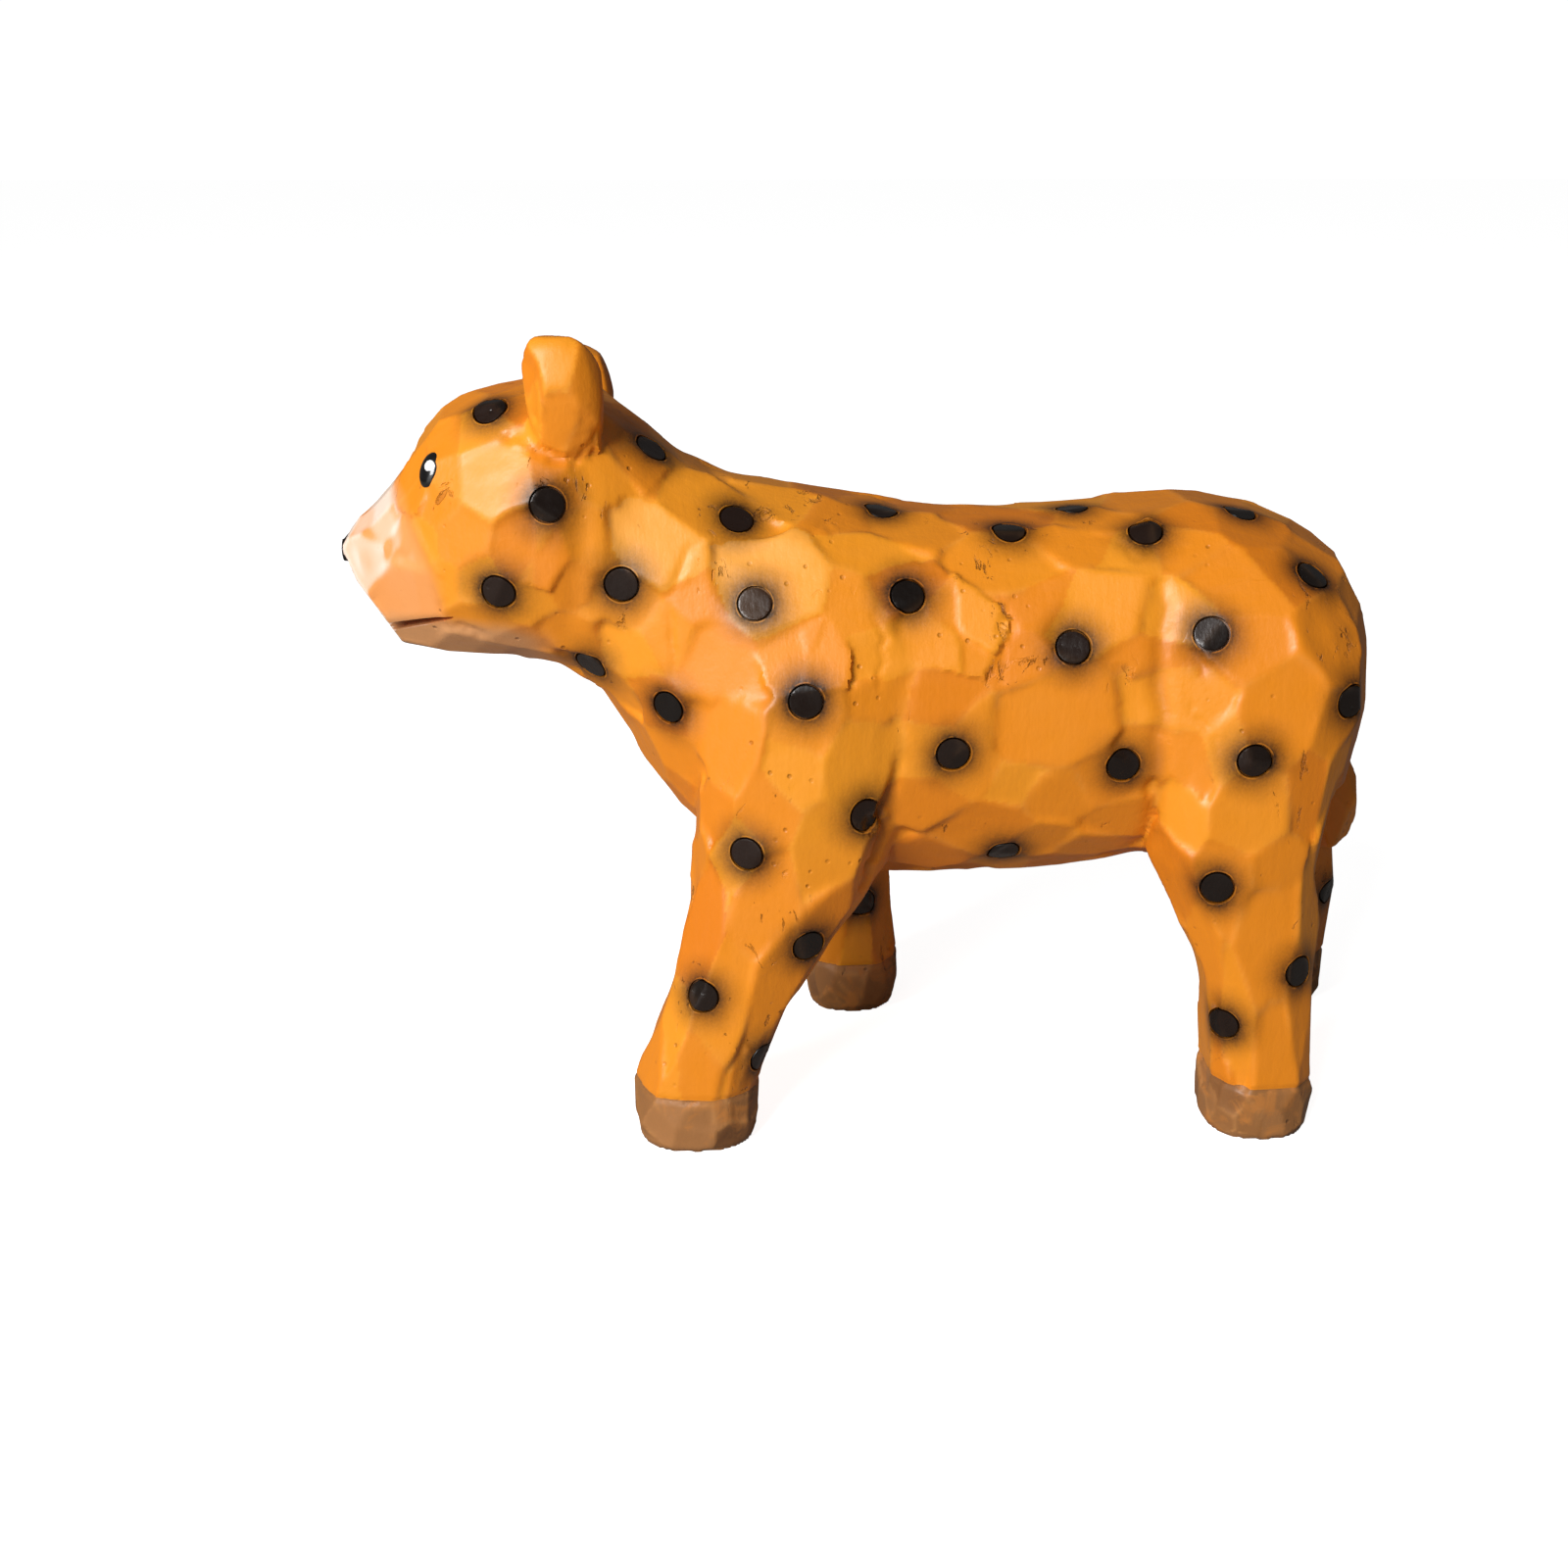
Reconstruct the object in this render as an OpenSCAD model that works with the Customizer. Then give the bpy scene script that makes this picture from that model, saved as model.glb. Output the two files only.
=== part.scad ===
// Carved and painted spotted cub figurine, built up from glued and dowelled wooden blocks.
// Nose towards -X, left flank towards -Y, soles on Z = 0.

/* [Overall size] */
// Length from the nose to the hindmost foot
overall_length = 150; // [120:1:190]
// Width across the feet
overall_width = 55; // [45:1:70]
// Height to the tip of the left ear
overall_height = 110; // [90:1:140]

/* [Feet] */
// Height of the darker foot blocks
foot_height = 8.5; // [6:0.5:12]
// How far a foot block stands proud of the shank above it
foot_lip = 0.3; // [0.1:0.1:0.8]
// Rounding at the sole
sole_round = 1; // [0.6:0.1:2.5]

/* [Dowels] */
// Diameter of the dowel between torso and neck
neck_dowel_d = 9; // [6:0.5:12]
// Diameter of the dowel between neck and head
head_dowel_d = 8; // [5:0.5:10]
// Diameter of the cross dowels that hold the legs
leg_dowel_d = 7; // [4:0.5:9]
// Diameter of the pegs in the ankles
foot_peg_d = 5; // [3:0.5:7]
// Diameter of the pegs in the ears and the tail
small_peg_d = 2; // [1.5:0.1:2.4]
// Length of the neck and head dowels
dowel_length = 18; // [12:1:24]

/* [Spots] */
// Diameter of a spot plug
spot_d = 4.6; // [3:0.1:6]
// Length of a spot plug
spot_depth = 3; // [2:0.25:4]

/* [Face] */
// Width of an eye bead
eye_width = 3.2; // [2:0.1:4]
// Height of an eye bead
eye_height = 5; // [3.5:0.1:6]
// Depth of the eye socket
eye_depth = 2.4; // [1.5:0.1:3.5]
// How far an eye bead stands out of the lid
eye_proud = 0.4; // [0:0.1:1]
// Thickness of the carved mouth line
mouth_gap = 0.6; // [0.3:0.1:1.2]

/* [Fits] */
// Gap all round a limb in its housing
housing_gap = 0.1; // [0.05:0.05:0.3]
// Gap all round a dowel or plug in its bore
bore_gap = 0.05; // [0.02:0.01:0.2]

/* [Hidden] */
$fn = 32;
eps = 0.01;
kx = overall_length / 150;
ky = overall_width / 55;
kz = overall_height / 110;
body_power = 0.86;
limb_power = 0.82;
trunk_points = 28;
limb_points = 20;
ear_points = 20;
steps = 2;
housing_y = 8 * ky;
bore_over = 3;

// Stations of the body from rump to nose: top x, top z, bottom x, bottom z, half width.
body_stations = [
    [66, 63, 65.4, 54, 6],
    [64.6, 71.6, 63.4, 47, 13],
    [60.6, 79.8, 61.6, 41.5, 18.5],
    [53, 84.2, 55.5, 38.5, 21.5],
    [42, 86.9, 44, 37, 22.5],
    [30, 85.9, 31, 34.8, 22],
    [16, 85.3, 16, 33.4, 22],
    [3, 85.6, 2, 33.4, 22.5],
    [-9, 87.9, -10.5, 34.4, 22.5],
    [-18, 89.4, -20.8, 37, 21.5],
    [-26, 91.6, -29.8, 43.4, 19.5],
    [-32, 95.6, -35.6, 52.4, 17],
    [-37.5, 100.2, -40, 60.2, 16.5],
    [-43, 102.8, -46.5, 64.8, 18],
    [-49.5, 103, -54, 65.9, 17.5],
    [-56.3, 101.2, -59.4, 66.4, 15.5],
    [-62, 98.2, -63.2, 66.6, 12.5],
    [-65.6, 92.2, -66.2, 66.9, 10.5],
    [-70, 87.2, -69, 68.8, 8.6],
    [-73.4, 84.2, -70.8, 72.4, 7],
    [-75, 82.4, -72.8, 77.4, 4]
];
trunk = [for (q = body_stations) [q[0] * kx, q[1] * kz, q[2] * kx, q[3] * kz, q[4] * ky]];
neck_station = 10;
head_station = 12;
nose_station = len(trunk) - 1;

// Stations of a limb: height, centre x, half length, centre y, half width.
function limb_list(q, side) =
    [for (p = q) [p[0] * kz, p[1] * kx, p[2] * kx, side * p[3] * ky, p[4] * ky]];
front_left = limb_list([
    [foot_height / kz, -28.2, 8.6, 19.6, 7.6],
    [20, -23.8, 8.6, 19, 7.8],
    [30, -19.2, 10.6, 18.2, 8.4],
    [40, -15.2, 13, 17, 9.2],
    [52, -13.4, 14.2, 16, 10],
    [62, -12.6, 13.8, 15.2, 10],
    [70, -12, 11.4, 13.8, 9.4],
    [75, -11.6, 6.5, 12.4, 6.5]], -1);
front_right = limb_list([
    [foot_height / kz, -3.2, 7.2, 20, 7.2],
    [20, -4.2, 6.9, 19.4, 7.4],
    [30, -6.4, 8, 18.4, 8.2],
    [40, -9, 10.6, 17, 9.2],
    [52, -11, 13.6, 16, 10],
    [62, -11.6, 13.8, 15.2, 10],
    [70, -12, 11.4, 13.8, 9.4],
    [75, -12, 6.5, 12.4, 6.5]], 1);
hind_left = limb_list([
    [foot_height / kz, 52.1, 7.6, 19.6, 7.6],
    [20, 50.8, 7.6, 19, 7.8],
    [30, 49.2, 9.2, 18.2, 8.4],
    [40, 46.8, 11.6, 17, 9.4],
    [52, 46.8, 13.2, 16, 10],
    [64, 48, 14.2, 15, 10],
    [73, 47.6, 12.8, 13.2, 9.4],
    [79, 46.6, 7.5, 11.6, 6.5]], -1);
hind_right = limb_list([
    [foot_height / kz, 67.2, 7.5, 19.8, 7.2],
    [20, 66.8, 7.8, 19.2, 7.4],
    [30, 64.2, 9.4, 18.2, 8.2],
    [40, 59, 12, 17, 9.2],
    [52, 53, 14, 16, 10],
    [64, 50, 14.4, 15, 10],
    [73, 48, 12.6, 13.2, 9.4],
    [79, 46.6, 7.5, 11.6, 6.5]], 1);
ear_left_list = limb_list([
    [93, -43, 3, 11.6, 2.6],
    [97, -43, 4.3, 12.6, 3],
    [102, -43.2, 5.1, 13.6, 3.3],
    [106, -43.6, 4.8, 14, 3],
    [109, -44, 3.4, 14, 2.2],
    [110, -44.2, 1.6, 14, 1.2]], -1);
ear_right_list = limb_list([
    [90.6, -43.2, 3, 11.8, 2.6],
    [94, -43.2, 4.2, 12.8, 3],
    [98.4, -43.4, 4.9, 13.8, 3.3],
    [102, -43.6, 4.6, 14.2, 3],
    [104.8, -43.8, 3.2, 14.2, 2.2],
    [105.8, -44, 1.6, 14.2, 1.2]], 1);
tail_list = limb_list([
    [52, 64.8, 1.8, 0, 2],
    [48, 65.8, 2.5, 0, 2.8],
    [43, 66.7, 2.9, 0, 3.2],
    [38, 66.6, 2.7, 0, 3],
    [35.2, 66.2, 1.9, 0, 2.2],
    [34.2, 66, 0.9, 0, 1]], 1);

// Spots on the body: station, angle from the back line (left is negative).
head_spots = [[14.5, -29], [13.2, -76], [14, -106], [12.3, -135],
    [14.3, 32], [13.4, 80], [14.4, 112], [12.4, 128]];
neck_spots = [[11.1, -20], [11.6, -88], [10.4, -105], [11.2, 30], [11.4, 84], [10.6, 125]];
torso_left_spots = [[9.4, -31], [9.1, -62], [7.2, -50], [5.6, -67], [6.7, -93], [5.1, -99], [6.1, -132]];
torso_right_spots = [[9.3, 40], [9.1, 72], [7.3, 56], [5.7, 70], [6.7, 96], [5.2, 102], [6, 130]];
back_spots = [[7.4, -8], [6.1, -20], [5.4, -3], [4.8, -25], [3.6, -11], [2.9, -41],
    [8.2, 22], [6.4, 24], [4.4, 26], [2.8, 42], [1.5, 8], [1.2, 80]];

// Spots on a limb: station, angle (0 faces the tail, -90 faces left).
front_left_spots = [[5.4, -92], [3.8, -57], [3.4, -115], [2.1, -59], [1.4, -120], [0.5, -32]];
front_right_spots = [[5.3, 92], [3.8, 60], [3.4, 118], [2.2, 62], [1.3, 120], [1, -78]];
hind_left_spots = [[6, -125], [5, -46], [4.4, -95], [2.9, -111], [1.6, -59], [0.8, -140]];
hind_right_spots = [[5.9, 122], [5, 50], [4.4, 96], [2.9, 110], [0.8, 130], [1, -40]];

function unit(v) = v / norm(v);
function shaped(x, p) = sign(x) * pow(abs(x), p);
function blend(a, b, c, d, t) = 0.5 * (2 * b + (c - a) * t
    + (2 * a - 5 * b + 4 * c - d) * t * t + (3 * b - a - 3 * c + d) * t * t * t);
function at(q, s) = let (n = len(q) - 1, i = min(max(floor(s), 0), n - 1))
    blend(q[max(i - 1, 0)], q[i], q[i + 1], q[min(i + 2, n)], s - i);

// A point of the body's surface at station s and angle a.
function trunk_point(s, a) = let (q = at(trunk, s), u = shaped(cos(a), body_power))
    [(q[0] + q[2]) / 2 + (q[0] - q[2]) / 2 * u,
     q[4] * shaped(sin(a), body_power),
     (q[1] + q[3]) / 2 + (q[1] - q[3]) / 2 * u];
function trunk_middle(s) = let (q = at(trunk, s)) [(q[0] + q[2]) / 2, 0, (q[1] + q[3]) / 2];
function limb_point(q, s, a, grow) = let (p = at(q, s))
    [p[1] + (p[2] + grow) * shaped(cos(a), limb_power),
     p[3] + (p[4] + grow) * shaped(sin(a), limb_power), p[0]];
function limb_middle(q, s) = let (p = at(q, s)) [p[1], p[3], p[0]];

// The outward direction of a surface, from its neighbours.
function outward(p0, p1, q0, q1, p, m) = let (n = unit(cross(p1 - p0, q1 - q0)))
    n * (p - m) < 0 ? -n : n;
function trunk_normal(s, a) = outward(
    trunk_point(s - 0.1, a), trunk_point(s + 0.1, a),
    trunk_point(s, a - 2), trunk_point(s, a + 2), trunk_point(s, a), trunk_middle(s));
function limb_normal(q, s, a) = outward(
    limb_point(q, s - 0.1, a, 0), limb_point(q, s + 0.1, a, 0),
    limb_point(q, s, a - 2, 0), limb_point(q, s, a + 2, 0), limb_point(q, s, a, 0), limb_middle(q, s));

// A closed skin over rings of points.
module skin(rings) {
    n = len(rings[0]);
    m = len(rings);
    polyhedron(
        points = [for (r = rings) each r],
        faces = concat(
            [[for (i = [0 : n - 1]) n - 1 - i]],
            [for (j = [0 : m - 2]) for (i = [0 : n - 1]) let (k = (i + 1) % n)
                each [[j * n + i, j * n + k, (j + 1) * n + k],
                      [j * n + i, (j + 1) * n + k, (j + 1) * n + i]]],
            [[for (i = [0 : n - 1]) (m - 1) * n + i]]));
}

module trunk_part(s0, s1) {
    skin([for (j = [0 : (s1 - s0) * steps])
        [for (i = [0 : trunk_points - 1])
            trunk_point(s0 + j / steps, 360 * i / trunk_points)]]);
}

// A limb, clipped flat where it is let into the body; grow makes the housing for it.
module limb(q, grow = 0, points = limb_points) {
    n = len(q) - 1;
    skin([for (j = [0 : n * steps])
        [for (i = [0 : points - 1])
            limb_point(q, j / steps, -360 * i / points, grow)
            + [0, 0, j == n * steps ? grow : 0]]]);
}

module leg(q, side, grow = 0) {
    depth = overall_width;
    intersection() {
        limb(q, grow);
        translate([-overall_length, side > 0 ? housing_y - grow : -depth, -eps])
            cube([2 * overall_length, depth - housing_y + grow, overall_height]);
    }
}

// Children drawn along the line from p in direction v.
module along(p, v) {
    translate(p) rotate([0, acos(v[2] / norm(v)), atan2(v[1], v[0])]) children();
}

module pin(p, v, d, l, gap = 0) {
    along(p, v) translate([0, 0, -l / 2 - gap]) cylinder(d = d + 2 * gap, h = l + 2 * gap);
}

module plug(p, v) {
    along(p, v) translate([0, 0, -spot_depth]) cylinder(d = spot_d, h = spot_depth);
}

module plug_bore(p, v) {
    along(p, v) translate([0, 0, -spot_depth - bore_gap])
        cylinder(d = spot_d + 2 * bore_gap, h = spot_depth + bore_gap + bore_over);
}

module trunk_plugs(list) {
    for (s = list) plug(trunk_point(s[0], s[1]), trunk_normal(s[0], s[1]));
}

module trunk_plug_bores(list) {
    for (s = list) plug_bore(trunk_point(s[0], s[1]), trunk_normal(s[0], s[1]));
}

module limb_plugs(q, list) {
    for (s = list) plug(limb_point(q, s[0], s[1], 0), limb_normal(q, s[0], s[1]));
}

module limb_plug_bores(q, list) {
    for (s = list) plug_bore(limb_point(q, s[0], s[1], 0), limb_normal(q, s[0], s[1]));
}

// Every spot bore; a spot on a joint line is drilled through both blocks.
module spot_bores() {
    trunk_plug_bores(concat(head_spots, neck_spots, torso_left_spots, torso_right_spots, back_spots));
    limb_plug_bores(front_left, front_left_spots);
    limb_plug_bores(front_right, front_right_spots);
    limb_plug_bores(hind_left, hind_left_spots);
    limb_plug_bores(hind_right, hind_right_spots);
}

// Joints between the blocks.
neck_mid = trunk_middle(neck_station);
head_mid = trunk_middle(head_station);
function joint_axis(s) = let (q = at(trunk, s)) unit([q[3] - q[1], 0, q[0] - q[2]]);
neck_axis = joint_axis(neck_station);
head_axis = joint_axis(head_station);
shoulder = [-11 * kx, 0, 62 * kz];
hip = [48.5 * kx, 0, 62 * kz];
leg_dowel_length = 2 * (housing_y + 7 * ky);
foot_peg_length = foot_height * 1.2;
small_peg_length = 7;

module neck_pin(gap = 0) { pin(neck_mid, neck_axis, neck_dowel_d, dowel_length, gap); }
module head_pin(gap = 0) { pin(head_mid, head_axis, head_dowel_d, dowel_length, gap); }
module shoulder_pin(gap = 0) { pin(shoulder, [0, 1, 0], leg_dowel_d, leg_dowel_length, gap); }
module hip_pin(gap = 0) { pin(hip, [0, 1, 0], leg_dowel_d, leg_dowel_length, gap); }
module ankle_pin(q, gap = 0) {
    pin([q[0][1], q[0][3], foot_height], [0, 0, 1], foot_peg_d, foot_peg_length, gap);
}
module root_pin(q, gap = 0) {
    pin([q[0][1], q[0][3], q[0][0]], [0, 0, 1], small_peg_d, small_peg_length, gap);
}

module foot(q) {
    p = q[0];
    heights = [0, sole_round * 0.4, sole_round, foot_height * 0.5, foot_height];
    inset = [sole_round, sole_round * 0.4, 0, -foot_lip, -foot_lip];
    difference() {
        skin([for (j = [0 : len(heights) - 1])
            [for (i = [0 : limb_points - 1])
                [p[1] + (p[2] - inset[j]) * shaped(cos(-360 * i / limb_points), limb_power),
                 p[3] + (p[4] - inset[j]) * shaped(sin(-360 * i / limb_points), limb_power),
                 heights[j]]]]);
        ankle_pin(q, bore_gap);
    }
}

// Eye beads: upright beads with round ends, let into the face.
eye_at = [15.8, 54];
module eye(side, gap = 0) {
    p = trunk_point(eye_at[0], side * eye_at[1]);
    v = trunk_normal(eye_at[0], side * eye_at[1]);
    rise = (eye_height - eye_width) / 2;
    along(p, v) translate([0, 0, -eye_depth - gap]) {
        h = eye_depth + (gap > 0 ? bore_over : eye_proud) + gap;
        for (x = [-rise, rise]) translate([x, 0, 0]) cylinder(d = eye_width + 2 * gap, h = h);
        translate([-rise, -eye_width / 2 - gap, 0]) cube([2 * rise, eye_width + 2 * gap, h]);
    }
}

// Nose pad across the front of the muzzle.
nose_d = 2.4;
nose_spread = 1.8;
nose_depth = 3;
nose_drop = 0.6;
module nose(gap = 0) {
    x = trunk[nose_station][0];
    z = trunk[nose_station][1] - nose_drop - nose_d / 2;
    translate([x - (gap > 0 ? bore_over : 0), 0, z]) rotate([0, 90, 0]) {
        h = nose_depth + (gap > 0 ? bore_over : 0) + gap;
        for (y = [-nose_spread, nose_spread]) translate([0, y, 0]) cylinder(d = nose_d + 2 * gap, h = h);
        translate([-nose_d / 2 - gap, -nose_spread, 0]) cube([nose_d + 2 * gap, 2 * nose_spread, h]);
    }
}

// Mouth: a thin saw cut round the muzzle.
mouth_front = [-72 * kx, 0, 70.2 * kz];
mouth_back = [-59.5 * kx, 0, 74 * kz];
mouth_cut = 3.5;
module mouth() {
    run = mouth_back - mouth_front;
    tilt = atan2(run[2], run[0]);
    half = overall_width / 2;
    translate(mouth_front) rotate([0, -tilt, 0]) {
        for (side = [-1, 1]) translate([-bore_over, side > 0 ? mouth_cut * ky : -half, -mouth_gap / 2])
            cube([norm(run) + bore_over, half - mouth_cut * ky, mouth_gap]);
        translate([-bore_over, -half, -mouth_gap / 2]) cube([bore_over + 2, overall_width, mouth_gap]);
    }
}

module torso_block() {
    color([0.93, 0.56, 0.14]) difference() {
        trunk_part(0, neck_station);
        leg(front_left, -1, housing_gap);
        leg(front_right, 1, housing_gap);
        leg(hind_left, -1, housing_gap);
        leg(hind_right, 1, housing_gap);
        limb(tail_list, housing_gap);
        neck_pin(bore_gap);
        shoulder_pin(bore_gap);
        hip_pin(bore_gap);
        root_pin(tail_list, bore_gap);
        spot_bores();
    }
}

module neck_block() {
    color([0.93, 0.58, 0.16]) difference() {
        trunk_part(neck_station, head_station);
        neck_pin(bore_gap);
        head_pin(bore_gap);
        spot_bores();
    }
}

module head_block() {
    color([0.94, 0.62, 0.22]) difference() {
        trunk_part(head_station, nose_station);
        head_pin(bore_gap);
        limb(ear_left_list, housing_gap, ear_points);
        limb(ear_right_list, housing_gap, ear_points);
        root_pin(ear_left_list, bore_gap);
        root_pin(ear_right_list, bore_gap);
        eye(-1, bore_gap);
        eye(1, bore_gap);
        nose(bore_gap);
        mouth();
        spot_bores();
    }
}

// Ears: thick paddles with a long scooped hollow facing forwards and a little out.
scoop_r = 4.4;
scoop_in = 1.6;
scoop_step = 2.6;
scoop_turn = 32;
scoop_at = 2.3;
module ear(q, side) {
    p = limb_middle(q, scoop_at);
    reach = at(q, scoop_at)[2] + scoop_r - scoop_in;
    difference() {
        limb(q, 0, ear_points);
        for (lift = [-scoop_step, 0, scoop_step])
            translate(p + [-reach * cos(scoop_turn), side * reach * sin(scoop_turn), lift])
                sphere(r = scoop_r, $fn = 48);
        root_pin(q, bore_gap);
    }
}

module front_leg(q, side) {
    color([0.93, 0.56, 0.14]) difference() {
        leg(q, side);
        shoulder_pin(bore_gap);
        ankle_pin(q, bore_gap);
        spot_bores();
    }
}

module hind_leg(q, side) {
    color([0.93, 0.56, 0.14]) difference() {
        leg(q, side);
        hip_pin(bore_gap);
        ankle_pin(q, bore_gap);
        spot_bores();
    }
}

module ear_left() { color([0.93, 0.56, 0.14]) ear(ear_left_list, -1); }
module ear_right() { color([0.93, 0.56, 0.14]) ear(ear_right_list, 1); }
module eye_left() { color([0.03, 0.03, 0.03]) eye(-1); }
module eye_right() { color([0.03, 0.03, 0.03]) eye(1); }
module nose_tip() { color([0.05, 0.04, 0.04]) nose(); }
module leg_front_left() { front_leg(front_left, -1); }
module leg_front_right() { front_leg(front_right, 1); }
module leg_hind_left() { hind_leg(hind_left, -1); }
module leg_hind_right() { hind_leg(hind_right, 1); }
module foot_front_left() { color([0.5, 0.36, 0.18]) foot(front_left); }
module foot_front_right() { color([0.5, 0.36, 0.18]) foot(front_right); }
module foot_hind_left() { color([0.5, 0.36, 0.18]) foot(hind_left); }
module foot_hind_right() { color([0.5, 0.36, 0.18]) foot(hind_right); }
module tail() {
    color([0.9, 0.52, 0.14]) difference() {
        limb(tail_list);
        root_pin(tail_list, bore_gap);
    }
}
module neck_dowel() { color([0.8, 0.66, 0.45]) neck_pin(); }
module head_dowel() { color([0.8, 0.66, 0.45]) head_pin(); }
module shoulder_dowel() { color([0.8, 0.66, 0.45]) shoulder_pin(); }
module hip_dowel() { color([0.8, 0.66, 0.45]) hip_pin(); }
module foot_pegs() {
    color([0.8, 0.66, 0.45]) for (q = [front_left, front_right, hind_left, hind_right]) ankle_pin(q);
}
module ear_pegs() { color([0.8, 0.66, 0.45]) for (q = [ear_left_list, ear_right_list]) root_pin(q); }
module tail_peg() { color([0.8, 0.66, 0.45]) root_pin(tail_list); }
module spots_head() { color([0.04, 0.04, 0.04]) trunk_plugs(head_spots); }
module spots_neck() { color([0.04, 0.04, 0.04]) trunk_plugs(neck_spots); }
module spots_torso_left() { color([0.04, 0.04, 0.04]) trunk_plugs(torso_left_spots); }
module spots_torso_right() { color([0.04, 0.04, 0.04]) trunk_plugs(torso_right_spots); }
module spots_back() { color([0.04, 0.04, 0.04]) trunk_plugs(back_spots); }
module spots_front_left() { color([0.04, 0.04, 0.04]) limb_plugs(front_left, front_left_spots); }
module spots_front_right() { color([0.04, 0.04, 0.04]) limb_plugs(front_right, front_right_spots); }
module spots_hind_left() { color([0.04, 0.04, 0.04]) limb_plugs(hind_left, hind_left_spots); }
module spots_hind_right() { color([0.04, 0.04, 0.04]) limb_plugs(hind_right, hind_right_spots); }

torso_block();
neck_block();
head_block();
ear_left();
ear_right();
eye_left();
eye_right();
nose_tip();
leg_front_left();
leg_front_right();
leg_hind_left();
leg_hind_right();
foot_front_left();
foot_front_right();
foot_hind_left();
foot_hind_right();
tail();
neck_dowel();
head_dowel();
shoulder_dowel();
hip_dowel();
foot_pegs();
ear_pegs();
tail_peg();
spots_head();
spots_neck();
spots_torso_left();
spots_torso_right();
spots_back();
spots_front_left();
spots_front_right();
spots_hind_left();
spots_hind_right();
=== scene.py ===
"""Looks of a carved and painted spotted cub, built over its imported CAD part.

The cub is carved from one skin: the CAD blocks are merged, closed by a voxel remesh, cut with
knife facets, grooved, and then sawn back into the blocks that the CAD nodes name.
"""

import logging
import math
from contextlib import contextmanager
from dataclasses import dataclass, field
from enum import Enum
from typing import Callable, Iterable, Iterator, Sequence

import bmesh
import bpy
import numpy as np
from mathutils import Matrix, Vector
from mathutils.bvhtree import BVHTree
from mathutils.kdtree import KDTree


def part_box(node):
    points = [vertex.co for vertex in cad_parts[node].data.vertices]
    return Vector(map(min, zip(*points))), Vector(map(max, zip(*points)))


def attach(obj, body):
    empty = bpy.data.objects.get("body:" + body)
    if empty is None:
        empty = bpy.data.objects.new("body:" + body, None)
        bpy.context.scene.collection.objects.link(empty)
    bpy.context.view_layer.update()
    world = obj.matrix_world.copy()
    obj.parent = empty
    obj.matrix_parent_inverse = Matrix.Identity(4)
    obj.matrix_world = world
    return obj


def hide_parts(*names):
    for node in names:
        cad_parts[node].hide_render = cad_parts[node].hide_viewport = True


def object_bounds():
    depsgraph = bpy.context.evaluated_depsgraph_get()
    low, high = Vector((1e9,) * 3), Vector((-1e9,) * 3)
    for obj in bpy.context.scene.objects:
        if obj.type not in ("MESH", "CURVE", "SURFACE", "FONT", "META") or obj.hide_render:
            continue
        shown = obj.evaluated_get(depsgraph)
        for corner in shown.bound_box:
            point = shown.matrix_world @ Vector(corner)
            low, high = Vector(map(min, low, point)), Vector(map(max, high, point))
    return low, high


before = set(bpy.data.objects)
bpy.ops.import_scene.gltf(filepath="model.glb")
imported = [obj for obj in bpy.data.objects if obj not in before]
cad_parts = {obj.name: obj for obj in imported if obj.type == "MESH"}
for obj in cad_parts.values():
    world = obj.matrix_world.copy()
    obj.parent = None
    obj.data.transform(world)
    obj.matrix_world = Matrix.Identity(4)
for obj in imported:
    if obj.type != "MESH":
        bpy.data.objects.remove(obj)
FRAME_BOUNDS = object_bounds()

logging.basicConfig(level=logging.INFO, format="%(message)s")
log = logging.getLogger("cub")

MM = 0.001
BODY = "root"
FOOT_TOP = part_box("foot_front_left")[1].z
WELD = 0.01 * MM
CHUNK = 4000
MOUTH_DOWN = Vector((0.291, 0.0, -0.957))


class Block(Enum):
    """Parts of the figurine that are sawn from the carved skin."""

    TORSO = "torso_block"
    NECK = "neck_block"
    HEAD = "head_block"
    FRONT_LEFT = "leg_front_left"
    FRONT_RIGHT = "leg_front_right"
    HIND_LEFT = "leg_hind_left"
    HIND_RIGHT = "leg_hind_right"


LEGS = (Block.FRONT_LEFT, Block.FRONT_RIGHT, Block.HIND_LEFT, Block.HIND_RIGHT)
EARS = ("ear_left", "ear_right")
EYES = ("eye_left", "eye_right")
FEET = ("foot_front_left", "foot_front_right", "foot_hind_left", "foot_hind_right")
DOWELS = ("neck_dowel", "head_dowel", "shoulder_dowel", "hip_dowel", "foot_pegs", "ear_pegs", "tail_peg")
SPOTS = (
    "spots_head", "spots_neck", "spots_torso_left", "spots_torso_right", "spots_back",
    "spots_front_left", "spots_front_right", "spots_hind_left", "spots_hind_right",
)


# ---------------------------------------------------------------- mesh helpers


def column(items: Iterable, name: str, width: int = 3, kind: type = float) -> np.ndarray:
    """Reads one property of every item of a mesh.

    Args:
        items: Vertices, edges or attribute values.
        name: Property name.
        width: Numbers in each value.
        kind: Number type.

    Returns:
        An (n, width) array.
    """
    out = np.empty(len(items) * width, dtype=kind)
    items.foreach_get(name, out)
    return out.reshape(-1, width)


def points_of(mesh: bpy.types.Mesh) -> np.ndarray:
    """Vertex positions in metres."""
    return column(mesh.vertices, "co")


def normals_of(mesh: bpy.types.Mesh) -> np.ndarray:
    """Vertex normals."""
    return column(mesh.vertices, "normal")


def edges_of(mesh: bpy.types.Mesh) -> np.ndarray:
    """Edge vertex pairs."""
    return column(mesh.edges, "vertices", 2, np.int64)


def move_to(mesh: bpy.types.Mesh, co: np.ndarray) -> None:
    """Moves a mesh's vertices to the given positions."""
    mesh.vertices.foreach_set("co", co.ravel())
    mesh.update()


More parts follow.
